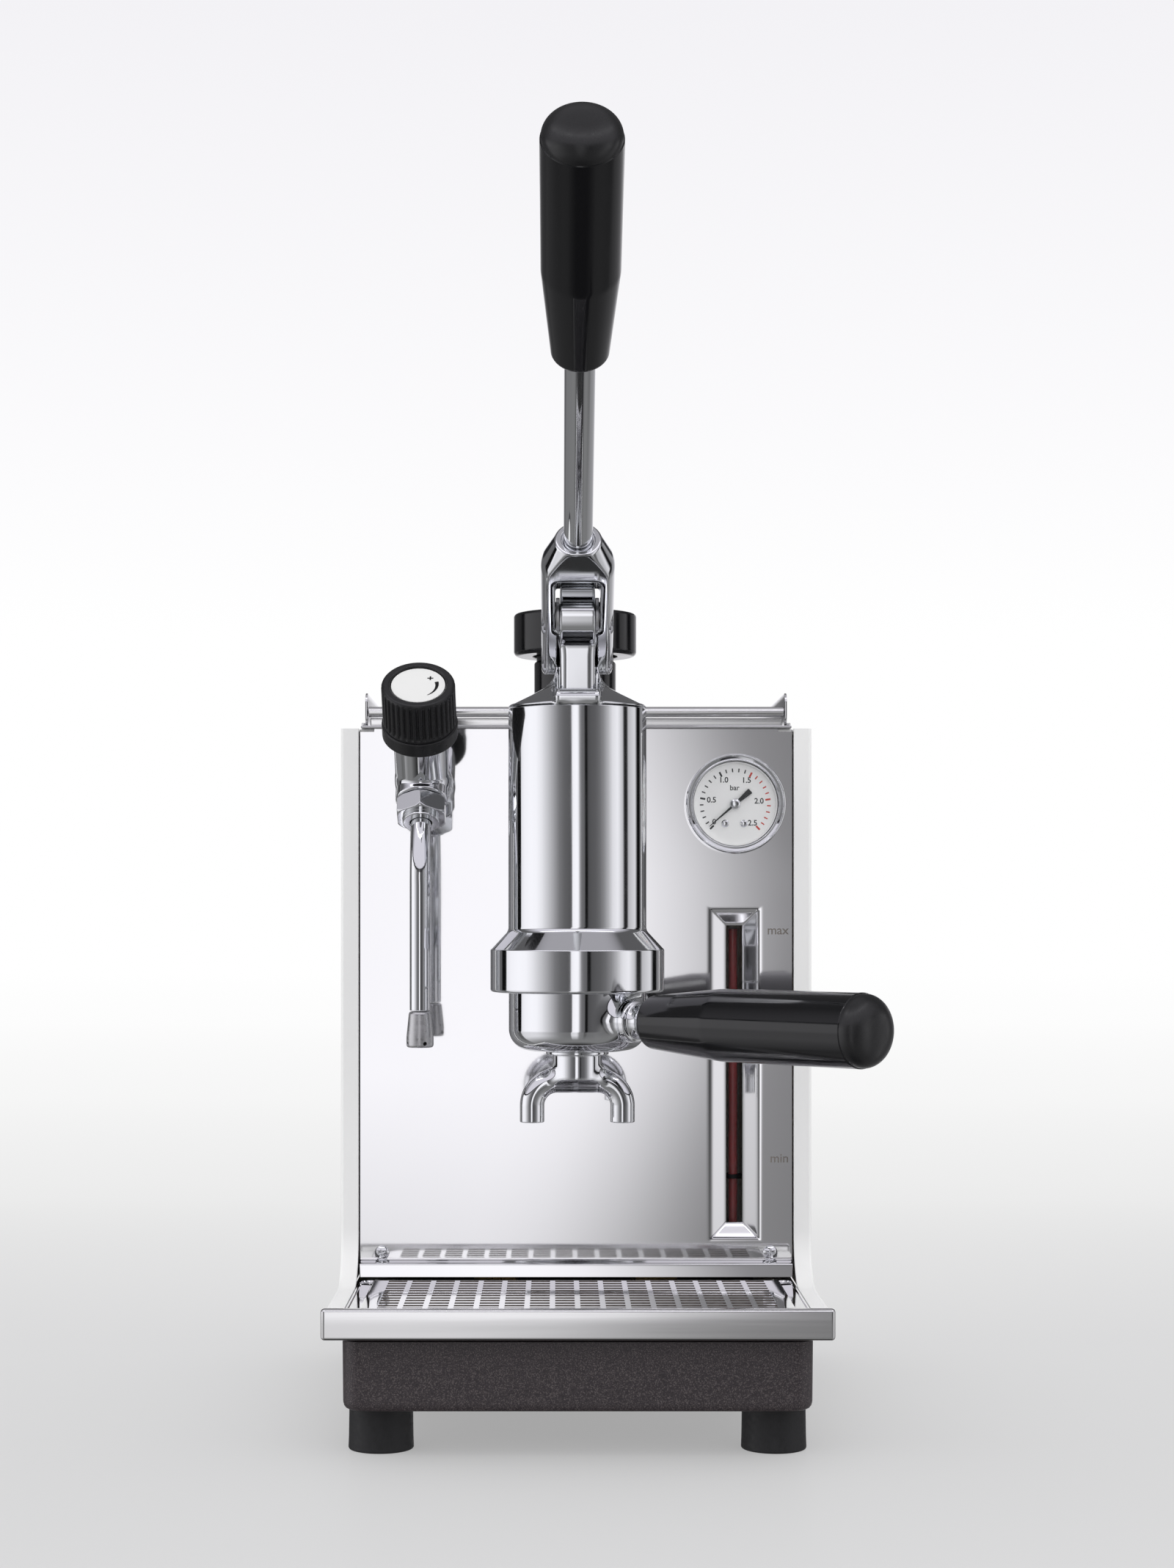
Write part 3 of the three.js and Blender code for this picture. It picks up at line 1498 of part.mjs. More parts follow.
// Mains inlet and switch bay in one moulding, screwed into the rear panel's cut-out.
function addInlet() {
  const half = inletWidth / 2;
  const top = inletBottom + inletHeight;
  const face = wallRear + seamGap;
  const module = join(
    block([-half, half], [wallRear - inletDepth, face + sheet], [inletBottom, top]),
    block([-half - inletLip, half + inletLip], [face, face + 2 * sheet], [inletBottom - inletLip, top + inletLip]),
  );
  const socketLow = inletBottom + inletLip;
  const mouth = face + 2 * sheet;
  const socket = block(
    [-socketWidth / 2, socketWidth / 2],
    [mouth - socketDepth, mouth + overrun],
    [socketLow, socketLow + socketHeight],
  );
  const blades = [-1, 0, 1].map((place) => {
    const x = (place * socketWidth) / 4;
    const z = socketLow + socketHeight / 2;
    return block(
      [x - bladeWidth / 2, x + bladeWidth / 2],
      [mouth - socketDepth - sheet, mouth - socketDepth + bladeLength],
      [z - bladeWidth, z + bladeWidth],
    );
  });
  const bayX = rockerWidth / 2 + seamGap;
  const bayZ = rockerHeight / 2 + seamGap;
  const rockerZ = top - inletLip - bayZ;
  const bay = block([-bayX, bayX], [mouth - rockerDepth - sheet, mouth + overrun], [rockerZ - bayZ, rockerZ + bayZ]);
  const inlet = join(cut(module, socket, bay), ...blades);
  addPiece(machine, "power_inlet", inlet, matt).position.x = inletX;

  const lift = (rockerHeight / 2) * Math.tan(THREE.MathUtils.degToRad(rockerTiltDegrees));
  const rockerHalf = rockerHeight / 2 - seamGap;
  const rocker = polygon([
    [-rockerDepth / 2, -rockerHalf / 2],
    [-rockerDepth / 2, rockerHalf / 2],
    [0, rockerHalf],
    [sheet, rockerHalf],
    [sheet + lift, 0],
    [sheet, -rockerHalf],
    [0, -rockerHalf],
  ]);
  const shape = carriedX(rocker, -rockerWidth / 2, rockerWidth / 2);
  const mesh = addPiece(machine, "power_switch", solidOf(shape), matt);
  mesh.position.set(inletX, mouth - sheet, rockerZ);
  mesh.rotation.x = THREE.MathUtils.degToRad(rockerTiltDegrees);
}

addFeet();
addBaseTub();
addSidePanels();
addFrontPanel();
addRearPanel();
addCupTray();
addBoiler();
addHeatingElement();
addFiller();
addBoilerFittings();
addGauge();
addSightGlass();
addGroupHead();
addGroupCap();
addLever();
addConRod();
addPiston();
addPortafilter();
addSteamValve();
addDripTray();
addInlet();

// The origin goes to the middle of the whole footprint, on the counter.
machine.updateMatrixWorld(true);
const whole = new THREE.Box3().setFromObject(machine, true);
const centre = whole.getCenter(new THREE.Vector3());
machine.position.set(-centre.x, -centre.y, -whole.min.z);

const part = new THREE.Group();
part.add(machine);

export default part;
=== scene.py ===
# %% [markdown]
# # A lever espresso machine
# A white painted body with a mirror front, a chromed group with its lever, a steam valve with a
# ribbed knob, a pressure gauge, a sight glass in a pressed pocket, and a drip tray with a grate.
# Every length here is in millimetres. +X is to the right, +Y to the back and +Z up.

import math

import bmesh
import bpy
import mathutils
import numpy as np
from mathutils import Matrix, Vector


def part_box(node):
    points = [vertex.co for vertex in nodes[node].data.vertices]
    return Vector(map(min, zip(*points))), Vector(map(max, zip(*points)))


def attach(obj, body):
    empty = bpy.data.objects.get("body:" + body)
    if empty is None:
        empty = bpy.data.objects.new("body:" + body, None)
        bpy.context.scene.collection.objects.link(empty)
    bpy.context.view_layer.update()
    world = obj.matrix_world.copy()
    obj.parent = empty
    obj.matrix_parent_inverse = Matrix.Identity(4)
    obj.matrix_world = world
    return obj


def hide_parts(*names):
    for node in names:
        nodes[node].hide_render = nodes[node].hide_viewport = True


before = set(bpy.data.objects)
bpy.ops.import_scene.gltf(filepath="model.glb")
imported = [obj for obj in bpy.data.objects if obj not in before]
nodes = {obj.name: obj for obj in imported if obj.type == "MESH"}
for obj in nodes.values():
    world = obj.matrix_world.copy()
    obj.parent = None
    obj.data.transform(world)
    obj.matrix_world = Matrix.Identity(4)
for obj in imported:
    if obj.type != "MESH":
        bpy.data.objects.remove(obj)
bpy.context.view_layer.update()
left_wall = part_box("side_panel_left")
SHIFT = np.array([left_wall[0].x * 1000 + 100, left_wall[0].y * 1000 + 96, 0.0])
print("machine axes are", SHIFT.round(3), "mm from the row's origin")

# %% [markdown]
# ## Places
# The machine is drawn from three planes: the centre plane, the plane of the painted front edges,
# and the counter. A piece is drawn about its own axis, as it would stand on a lathe, and a place is
# the matrix that carries it to where it sits. So a tilted lever is drawn upright, which is easier.

# %% Places
def move(x, y, z):
    """A place shifted by x, y and z."""
    m = np.eye(4)
    m[:3, 3] = (x, y, z)
    return m


def turn(axis, degrees):
    """A place turned about the X, Y or Z axis: cosines on the diagonal, plus and minus the sine off it."""
    a = math.radians(degrees)
    i, j = {"X": (1, 2), "Y": (2, 0), "Z": (0, 1)}[axis]
    m = np.eye(4)
    m[i, i] = m[j, j] = math.cos(a)
    m[j, i] = math.sin(a)
    m[i, j] = -math.sin(a)
    return m


def placed(surface, place):
    """The same surface with each point turned by the place's matrix and then shifted."""
    points, faces = surface
    return points @ place[:3, :3].T + place[:3, 3], faces


PIN_GAP = 24
SIGHT_X = 67.6
HANDLE_TURN, HANDLE_Z = -46, 171
VALVE_AT, VALVE_LEAN, OUTLET_LEAN = (-64, -28, 269), 43, 30
FRONT = turn("X", 90)
LEVER = move(0, -47, 319) @ turn("X", 56)
CON_ROD = move(*(LEVER @ (0, 0, PIN_GAP, 1))[:3]) @ turn("X", 4.95)
GROUP = move(0, -60, 0)
VALVE = move(*VALVE_AT) @ turn("X", VALVE_LEAN)
OUTLET = move(*VALVE_AT) @ turn("X", -OUTLET_LEAN)
HANDLE = GROUP @ move(0, 0, HANDLE_Z) @ turn("Z", HANDLE_TURN) @ turn("Y", 90)
GAUGE = move(SIGHT_X, 0, 260) @ FRONT
SIGHT = move(SIGHT_X, 16.4, 0)
BOILER = move(0, 70, 0)
print("the connecting rod hangs from", CON_ROD[:3, 3].round(2))

# %% [markdown]
# ## Outlines
# Real edges are never sharp: a tool or a press leaves a small radius. So an outline is a list of
# corners with radii, and each corner becomes an arc. A point close beside the arc keeps the flat
# next to it flat when the shading is smoothed, which a Bevel modifier would need more faces for.

# %% Outlines
def rounded(corners, steps=6, closed=False, support=0.06):
    """Points of an outline of (a, b, radius). An arc touches a corner's two sides at the radius
    over the tangent of half the corner's angle, and its centre lies on the line that halves it."""
    points = []
    total = len(corners)
    for i, corner in enumerate(corners):
        here = np.array(corner[:2], float)
        radius = corner[2] if len(corner) > 2 else 0
        if radius == 0 or (not closed and i in (0, total - 1)):
            points.append(here)
            continue
        a = np.array(corners[i - 1][:2], float) - here
        b = np.array(corners[(i + 1) % total][:2], float) - here
        length_a, length_b = np.linalg.norm(a), np.linalg.norm(b)
        a, b = a / length_a, b / length_b
        half = math.acos(np.clip(a @ b, -1, 1)) / 2
        reach = min(radius / math.tan(half), 0.48 * length_a, 0.48 * length_b)
        radius = reach * math.tan(half)
        centre = here + (a + b) / np.linalg.norm(a + b) * radius / math.sin(half)
        first, last = here + a * reach - centre, here + b * reach - centre
        begin, end = math.atan2(first[1], first[0]), math.atan2(last[1], last[0])
        sweep = (end - begin + math.pi) % (2 * math.pi) - math.pi
        angles = begin + sweep * np.linspace(0, 1, steps + 1)
        points.append(here + a * (reach + support))
        points.extend(centre + radius * np.stack([np.cos(angles), np.sin(angles)], -1))
        points.append(here + b * (reach + support))
    return np.array(points)


def loop(x0, y0, x1, y1, radius, steps=6):
    """Points of a rectangle with round corners, anticlockwise."""
    corners = [(x0, y0, radius), (x1, y0, radius), (x1, y1, radius), (x0, y1, radius)]
    return rounded(corners, steps=steps, closed=True)


print("a square with round corners has", len(loop(0, 0, 10, 10, 2)), "points")

# %% [markdown]
# ## Grids
# Most pieces are turned on a lathe, bent from tube or folded from sheet, so most surfaces are
# grids: an outline carried round an axis, along a path, or through a stack of loops. A grid's quads
# follow from its two counts, so no face is ever drawn by hand.

# %% Grids
def facing(points, faces, way):
    """The faces, all turned over if the sum of p x q along their edges, which is twice their
    area as an arrow, points away from the given direction."""
    faces = np.asarray(faces)
    ring = points[faces]
    area = np.cross(ring, np.roll(ring, -1, 1)).sum((0, 1))
    return faces[:, ::-1] if area @ np.array(way) < 0 else faces


def grid_faces(rows, cols, wrap=False, closed=False):
    """Quads between neighbouring points of a grid; wrap joins its columns round, closed its rows."""
    r, c = np.meshgrid(
        np.arange(rows if closed else rows - 1), np.arange(cols if wrap else cols - 1), indexing="ij"
    )
    r2, c2 = (r + 1) % rows, (c + 1) % cols
    quads = np.stack([r * cols + c, r * cols + c2, r2 * cols + c2, r2 * cols + c], -1)
    return quads.reshape(-1, 4)


def turned(profile, sides, place, closed=False):
    """A profile of (radius, height) carried round Z: radius times cosine and sine of the angle."""
    angle = np.linspace(0, 2 * np.pi, sides, endpoint=False)
    radius, height = profile[:, :1], profile[:, 1:2]
    points = np.stack([radius * np.cos(angle), radius * np.sin(angle), height + 0 * angle], -1)
    faces = grid_faces(len(profile), sides, wrap=True, closed=closed)
    return placed((points.reshape(-1, 3), faces), place)


def loft(loops, heights, start_cap=True, end_cap=True):
    """Loops of equal length stacked at their heights, with a flat face at either end."""
    count = len(loops[0])
    points = np.concatenate(
        [np.column_stack([ring, np.full(count, float(h))]) for ring, h in zip(loops, heights)]
    )
    faces = grid_faces(len(loops), count, wrap=True).tolist()
    if start_cap:
        faces.append(list(range(count))[::-1])
    if end_cap:
        faces.append(list(range(len(points) - count, len(points))))
    return points, faces


def slab(low, high, edge=0.3, steps=3, corner=None):
    """A block with round edges: its loops are drawn in by the edge radius less its sine, at
    heights of the radius less its cosine."""
    corner = max(edge, corner or edge) + 0.01
    angle = np.linspace(0, math.pi / 2, steps + 1)
    inset = np.concatenate([edge * (1 - np.sin(angle)), edge * (1 - np.sin(angle[::-1]))])
    up = edge * (1 - np.cos(angle))
    heights = np.concatenate([low[2] + up, high[2] - up[::-1]])
    loops = [
        loop(low[0] + i, low[1] + i, high[0] - i, high[1] - i, max(corner - i, 0.01)) for i in inset
    ]
    return loft(loops, heights)


SIDES = (("left", -1), ("right", 1))
print("a block has", len(slab((0, 0, 0), (10, 10, 10))[1]), "faces")

# %% [markdown]
# ## Finishes
# Each finish is a small network on the object's own coordinates, so it holds still on its piece:
# plating with faint haze, a mirror sheet with slow waves, brushed steel with fine lines, powder coat
# with orange peel, speckled wrinkle paint, moulded black plastic, rubber, glass and ink. Noise is
# used instead of pictures, because it has no seams and no limit of detail.

# %% Shader helpers
def material(name, color, roughness, metallic=0.0, **settings):
    """A new finish with plain values on its shader."""
    made = bpy.data.materials.new(name)
    made.use_nodes = True
    shader = made.node_tree.nodes["Principled BSDF"]
    shader.inputs["Base Color"].default_value = (*color, 1)
    shader.inputs["Roughness"].default_value = roughness
    shader.inputs["Metallic"].default_value = metallic
    for key, value in settings.items():
        shader.inputs[key.replace("_", " ")].default_value = value
    return made


def feed(made, socket, source):
    """Links a source to the socket, or sets the socket to a plain value."""
    if isinstance(source, bpy.types.NodeSocket):
        made.node_tree.links.new(source, socket)
    else:
        socket.default_value = source


def add(made, kind, **inputs):
    """A node in the finish, with values or links on its inputs."""
    new = made.node_tree.nodes.new(kind)
    for key, value in inputs.items():
        feed(made, new.inputs[key.replace("_", " ")], value)
    return new


def noise(made, scale, detail=2.0, stretch=(1, 1, 1)):
    """Noise on object coordinates; scale is in turns per metre, stretch slows it along an axis."""
    where = made.node_tree.nodes.new("ShaderNodeTexCoord").outputs["Object"]
    mapped = add(made, "ShaderNodeMapping", Vector=where, Scale=stretch).outputs["Vector"]
    return add(made, "ShaderNodeTexNoise", Vector=mapped, Scale=scale, Detail=detail).outputs["Fac"]


def spread(made, factor, low, high, start=0.3, end=0.7):
    """low plus the factor's share of the way from start to end, times high less low."""
    ends = {"From_Min": start, "From_Max": end, "To_Min": low, "To_Max": high}
    return add(made, "ShaderNodeMapRange", Value=factor, **ends).outputs["Result"]


def tint(made, factor, *stops):
    """A colour ramp of (place, colour) stops."""
    ramp = add(made, "ShaderNodeValToRGB", Fac=factor)
    band = ramp.color_ramp
    band.elements.remove(band.elements[1])
    for i, (at, color) in enumerate(stops):
        element = band.elements[0] if i == 0 else band.elements.new(at)
        element.position = at
        element.color = (*color, 1)
    return ramp.outputs["Color"]


FINISH = {}


def coat(name, color, roughness, metallic=0.0, grain=(), rough=(), tones=(), relief=(), **others):
    """A finish, kept under its name. Its roughness runs between the two values of rough over the
    noise grain, its colour over the stops of tones by patches, and relief is the depth in
    millimetres and the strength of bumps that follow waves. Patches and waves are the grain where
    they aren't given. A noise is (turns per metre, detail, stretch)."""
    patches, waves = others.pop("patches", ()), others.pop("waves", ())
    made = FINISH[name] = material(name, color, roughness, metallic, **others)
    inputs = made.node_tree.nodes["Principled BSDF"].inputs
    grains = noise(made, *grain)
    if rough:
        feed(made, inputs["Roughness"], spread(made, grains, *rough))
    if tones:
        feed(made, inputs["Base Color"], tint(made, noise(made, *patches) if patches else grains, *tones))
    if relief:
        height = noise(made, *waves) if waves else grains
        bump = add(made, "ShaderNodeBump", Height=height, Distance=relief[0] / 1000, Strength=relief[1])
        feed(made, inputs["Normal"], bump.outputs["Normal"])


trial = material("trial", (0.5, 0.5, 0.5), 0.5)
print("a new finish has", len(trial.node_tree.nodes), "nodes")
bpy.data.materials.remove(trial)

# %% [markdown]
# Metals are fully metallic, and their grain lies in the roughness. Lines along X come from a noise
# that is stretched along X. The grate's cut walls are dark brown: painted shade for the dark inside of its
# slots.

# %% Metals
LINES, FINE_LINES = (0.03, 1, 1), (0.02, 1, 1)
coat("chrome", (0.80, 0.81, 0.83), 0.06, 1.0, (60, 4), (0.035, 0.09), relief=(0.02, 0.35), waves=(45, 1))
coat(
    "polished_steel", (0.83, 0.83, 0.84), 0.06, 1.0, (14, 5), (0.03, 0.075),
    relief=(0.05, 0.25), waves=(9, 1, (1, 1, 0.4)),
)
coat(
    "satin_steel", (0.62, 0.62, 0.63), 0.34, 1.0, (900, 3, LINES), (0.26, 0.44),
    tones=((0.3, (0.56, 0.56, 0.57)), (0.7, (0.68, 0.68, 0.69))), relief=(0.01, 0.3),
)
coat("front_steel", (0.77, 0.77, 0.77), 0.12, 1.0, (700, 2, FINE_LINES), (0.10, 0.15))
coat("bright_steel", (0.84, 0.84, 0.84), 0.16, 1.0, (700, 2, FINE_LINES), (0.12, 0.22))
# The grate's cut walls: a dark warm colour that paints the shade inside the slots.
coat(
    "grate_walls_painted_shade", (0.26, 0.23, 0.215), 0.4, 0.6, (400, 3),
    tones=((0.3, (0.22, 0.19, 0.175)), (0.7, (0.34, 0.30, 0.28))),
)
coat(
    "disc_silver", (0.84, 0.84, 0.83), 0.42, 0.15, (300, 3), (0.36, 0.5),
    relief=(0.01, 0.2), waves=(700, 2),
)
coat(
    "brass", (0.62, 0.42, 0.18), 0.3, 1.0, (55, 5), (0.24, 0.46),
    tones=((0.3, (0.42, 0.25, 0.09)), (0.7, (0.66, 0.47, 0.20))),
)
print(len(FINISH), "metals")

# %% [markdown]
# Paints, plastics and inks aren't metallic. Powder coat has an even colour with a fine orange peel;
# the tub's wrinkle paint is dark with paler grains, so its ramp has three stops.

# %% Paints, plastics and inks
coat(
    "white_paint", (0.86, 0.86, 0.85), 0.34, 0.0, (900, 2), (0.28, 0.42), relief=(0.02, 0.5),
    tones=((0.3, (0.895, 0.895, 0.89)), (0.7, (0.92, 0.92, 0.915))), patches=(14, 3),
)
coat(
    "tub_paint", (0.06, 0.05, 0.05), 0.55, 0.0, (2300, 3), (0.34, 0.55), relief=(0.08, 0.6),
    tones=((0.34, (0.020, 0.015, 0.018)), (0.52, (0.034, 0.026, 0.030)), (0.66, (0.100, 0.084, 0.084))),
)
coat(
    "gloss_black", (0.006, 0.006, 0.007), 0.1, 0.0, (70, 5), (0.06, 0.16),
    relief=(0.02, 0.3), waves=(90, 1),
)
coat("satin_black", (0.010, 0.010, 0.011), 0.3, 0.0, (400, 3), (0.26, 0.36))
coat(
    "matt_black", (0.005, 0.005, 0.006), 0.42, 0.0, (1600, 2), (0.34, 0.52),
    relief=(0.02, 0.4), Specular_IOR_Level=0.3,
)
coat(
    "rubber", (0.018, 0.018, 0.020), 0.6, 0.0, (500, 5), (0.48, 0.7), relief=(0.03, 0.4),
    tones=((0.35, (0.007, 0.007, 0.008)), (0.75, (0.016, 0.016, 0.018))),
)
coat("glass", (0.45, 0.47, 0.47), 0.02, 0.0, (40, 3), (0.01, 0.04), Alpha=0.05)
coat(
    "red_liquid", (0.22, 0.008, 0.012), 0.12, 0.0, (120, 2, (1, 1, 0.2)),
    tones=((0.3, (0.13, 0.004, 0.008)), (0.7, (0.30, 0.014, 0.018))),
)
coat(
    "dial", (0.93, 0.93, 0.93), 0.4, 0.0, (90, 4),
    tones=((0.3, (0.94, 0.94, 0.94)), (0.7, (0.97, 0.97, 0.97))),
)
for name, color in (
    ("ink", (0.015, 0.015, 0.018)), ("red_ink", (0.62, 0.035, 0.02)), ("faint_ink", (0.20, 0.18, 0.165)),
):
    coat(name, color, 0.5, 0.0, (800, 2), (0.4, 0.6))
print(len(FINISH), "finishes")

# %% [markdown]
# ## Making a piece
# A piece is one or more surfaces in one mesh. Points that fall together are welded, faces turn
# outwards, and an edge that bends by more than the given angle stays crisp. It then rides on its
# body and stands for the CAD nodes that it replaces.

# %% Pieces
def linked(name, data):
    """A new object in the scene."""
    made = bpy.data.objects.new(name, data)
    bpy.context.scene.collection.objects.link(made)
    return made


def piece(
    name, surfaces, finish, stands_for=(), body="machine", look=None, angle=38, closed=True, normals=None
):
    """One object from surfaces in machine millimetres; look names another finish than its slot's."""
    points, faces, start = [], [], 0
    for p, f in surfaces:
        points.append(p)
        rows = f.tolist() if isinstance(f, np.ndarray) else f
        faces += [[i + start for i in face] for face in rows]
        start += len(p)
    mesh = bpy.data.meshes.new(name)
    mesh.from_pydata(((np.concatenate(points) + SHIFT) / 1000).tolist(), [], faces)
    if normals is None:
        bm = bmesh.new()
        bm.from_mesh(mesh)
        bmesh.ops.remove_doubles(bm, verts=bm.verts, dist=1e-7)
        if closed:
            bmesh.ops.recalc_face_normals(bm, faces=bm.faces)
        bm.to_mesh(mesh)
        bm.free()
    mesh.polygons.foreach_set("use_smooth", np.ones(len(mesh.polygons), bool))
    if normals is None:
        mesh.set_sharp_from_angle(angle=math.radians(angle))
    else:
        mesh.normals_split_custom_set_from_vertices(normals.tolist())
    mesh.materials.append(FINISH[look or finish])
    made = linked(name, mesh)
    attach(made, body)
    if stands_for:
        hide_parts(*stands_for)
    print(name, len(mesh.polygons), "faces")
    return made


print(len(nodes), "CAD nodes to dress")

# %% [markdown]
# ## Feet and base tub
# Four turned rubber feet carry a deep-drawn tub. The tub is a stack of loops: its lower edge curls in
# by a quarter circle, its walls lean a little, its rim turns out under the side panels, and the same
# stack goes on down the inside, so that the wall has its thickness when the tray is pulled out.

# %% Feet
def lathe(
    name, corners, sides, place, finish, stands_for=(), body="machine", look=None, closed=False, steps=6
):
    """A turned piece from the corners of its outline."""
    profile = rounded(corners, steps, closed)
    return piece(name, [turned(profile, sides, place, closed)], finish, stands_for, body, look)


FOOT = [(0, 1.2), (4.2, 1.2, 0.4), (5.2, 0, 0.5), (13.1, 0, 0.9), (12.9, 5, 4), (12.7, 18.1, 0.5), (0, 18.1)]
for row, y in (("front", -68), ("rear", 144.5)):
    for side, sign in SIDES:
        name = f"foot_{row}_{side}"
        lathe(name + "_rubber", FOOT, 72, move(sign * 78.4, y, 0), "rubber", [name])

# %% Base tub
def trough(rows, steps=6, **caps):
    """Rows of (half width, front, back, corner radius, height), each a loop, stacked in their order."""
    loops = [loop(-x, front, x, back, corner, steps) for x, front, back, corner, _ in rows]
    return loft(loops, [row[-1] for row in rows], **caps)


curl = ((3.6, 18.3), (2.4, 18.55), (1.3, 19.2), (0.6, 20.2), (0.25, 21.6), (0.2, 22.2), (0, 44.5), (0, 46.0))
outer = [(92.6 - inset, -92 + inset, 168.5 - inset, 8 - inset * 0.4, z) for inset, z in curl]
inner = [
    (92.6, -92, 168.5, 8, 46.0), (98.4, -88, 168.5, 8, 46.2), (98.4, -88, 168.5, 8, 47.4),
    (80.6, -80, 156.5, 6, 47.4), (80.6, -80, 156.5, 6, 45.9), (90.1, -89.5, 166, 5.5, 45.8),
    (89.9, -89.3, 165.8, 5.5, 22.4), (88.6, -88, 164.5, 5, 20.8),
]
tub = [trough(outer, 8, end_cap=False), trough(inner, 8, start_cap=False)]
piece("tub_shell", tub, "tub_paint", ["base_tub"])

# %% [markdown]
# ## Side panels
# Each side is one sheet: a flat wall whose front edge turns inwards round a small radius. The edge
# runs along the arm, up through a hollow curve and straight to the top, so its section is carried
# along that path, and the flat wall is the face inside the path. Solidify gives it its thickness.

# %% Surface of a side
HALF, BACK, ARM_END, LOW, TOP = 100, 169.7, -96, 47.7, 292
ARM_TOP, HOLLOW, SHEET = 57, 22, 1.2


def side_panel(sign):
    """The edge's section carried along the front edge, each point out along the path's normal, and
    the wall behind it as one face."""
    angle = np.radians(np.linspace(0, 90, 22))[1:-1]
    bend = ARM_TOP + HOLLOW
    hollow = np.stack([-HOLLOW + HOLLOW * np.sin(angle), bend - HOLLOW * np.cos(angle)], -1)
    arm = [(ARM_END, ARM_TOP), (-HOLLOW - 0.4, ARM_TOP), (-HOLLOW, ARM_TOP)]
    path = np.concatenate([arm, hollow, [(0, bend), (0, bend + 0.4), (0, TOP)]])
    normal = np.concatenate([[(0, 1)] * 3, np.stack([-np.sin(angle), np.cos(angle)], -1), [(-1, 0)] * 3])
    section = rounded([(92.4, -1.1), (92.4, 0, 0.35), (HALF, 0, 2.2), (HALF, -3)], steps=8)
    x = np.zeros((len(path), 1)) + sign * section[:, 0]
    y = path[:, :1] + normal[:, :1] * section[:, 1]
    z = path[:, 1:] + normal[:, 1:] * section[:, 1]
    points = np.stack([x, y, z], -1).reshape(-1, 3)
    last = np.arange(len(path)) * len(section) + len(section) - 1
    corners = np.array([(sign * HALF, BACK, TOP), (sign * HALF, BACK, LOW), (sign * HALF, ARM_END, LOW)])
    wall = np.concatenate([last, len(points) + np.arange(3)])[None]
    points = np.concatenate([points, corners])
    edge = facing(points, grid_faces(len(path), len(section)), (0, -1, 1))
    return points, edge.tolist() + facing(points, wall, (sign, 0, 0)).tolist()


print("a side has", len(side_panel(1)[0]), "points")

# %% Side panels
def thickened(made, thickness, walls=None):
    """Sheet metal: the surface gets its thickness behind it, and its cut edges stay crisp."""
    sheet = made.modifiers.new("Sheet", "SOLIDIFY")
    if walls:
        made.data.materials.append(FINISH[walls])
        sheet.material_offset_rim = 1
    sheet.thickness = thickness / 1000
    sheet.offset = -1
    view = bpy.context.evaluated_depsgraph_get()
    thick = bpy.data.meshes.new_from_object(made.evaluated_get(view))
    made.modifiers.clear()
    made.data = thick
    thick.set_sharp_from_angle(angle=math.radians(38))
    print(made.name, "is", thickness, "mm thick, with", len(thick.polygons), "faces")


for side, sign in SIDES:
    name = f"side_{side}_sheet"
    made = piece(name, [side_panel(sign)], "white_paint", [f"side_panel_{side}"], closed=False)
    thickened(made, SHEET)

# %% [markdown]
# The rear panel is a flat sheet with cut openings. Drawing it again would give the same shape, so
# the CAD node is copied, and a Bevel modifier takes the sharpness off its edges.

# %% Rear panel
def softened(name, finish, body="machine", width=0.4):
    """A copy of a flat-sided CAD node with its edges rounded."""
    mesh = nodes[name].data.copy()
    bm = bmesh.new()
    bm.from_mesh(mesh)
    bmesh.ops.remove_doubles(bm, verts=bm.verts, dist=1e-6)
    bmesh.ops.dissolve_limit(bm, angle_limit=math.radians(1), verts=bm.verts, edges=bm.edges)
    bm.to_mesh(mesh)
    bm.free()
    mesh.materials.clear()
    mesh.materials.append(FINISH[finish])
    made = linked(name + "_soft", mesh)
    mesh.polygons.foreach_set("use_smooth", np.ones(len(mesh.polygons), bool))
    bevel = made.modifiers.new("Edges", "BEVEL")
    bevel.width = width / 1000
    bevel.segments = 2
    bevel.limit_method = "ANGLE"
    bevel.angle_limit = math.radians(35)
    bevel.harden_normals = True
    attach(made, body)
    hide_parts(name)
    print(name, "has edges of", width, "mm")


softened("rear_panel", "white_paint")

# %% [markdown]
# ## Mirror front panel
# One polished sheet with a step along its foot and a pressed pocket round the sight glass. It is a
# height over a grid: the pocket's four slopes are the distance in from its rim, held at the floor's
# depth, and the cells of the slot in its floor are left out. Grid lines are close together only
# where the sheet bends, because a flat mirror needs none.

# %% Front panel
POCKET_X, POCKET_Z, POCKET_MIDDLE, POCKET_SLOPE, SLOT_X, SLOT_Z = 10.1, 70, 145, 6.6, 3.5, (81.6, 208.4)


def ramp(d, low, high, soft):
    """A value that follows d between low and high; the corners are softened by the logarithm of a
    sum of exponentials."""
    a = low + np.logaddexp(0, (d - low) / soft) * soft
    return high - np.logaddexp(0, (high - a) / soft) * soft


def open_faces(rows, cols, hole, points, way):
    """A grid's quads without those whose middle (a, b) the hole function says is open."""
    a, b = np.meshgrid((rows[:-1] + rows[1:]) / 2, (cols[:-1] + cols[1:]) / 2, indexing="ij")
    return facing(points, grid_faces(len(rows), len(cols))[~hole(a, b).reshape(-1)], way)


def grid_lines(*parts):
    """All values of the parts, in order and without doubles."""
    return np.unique(np.round(np.concatenate(parts), 3))


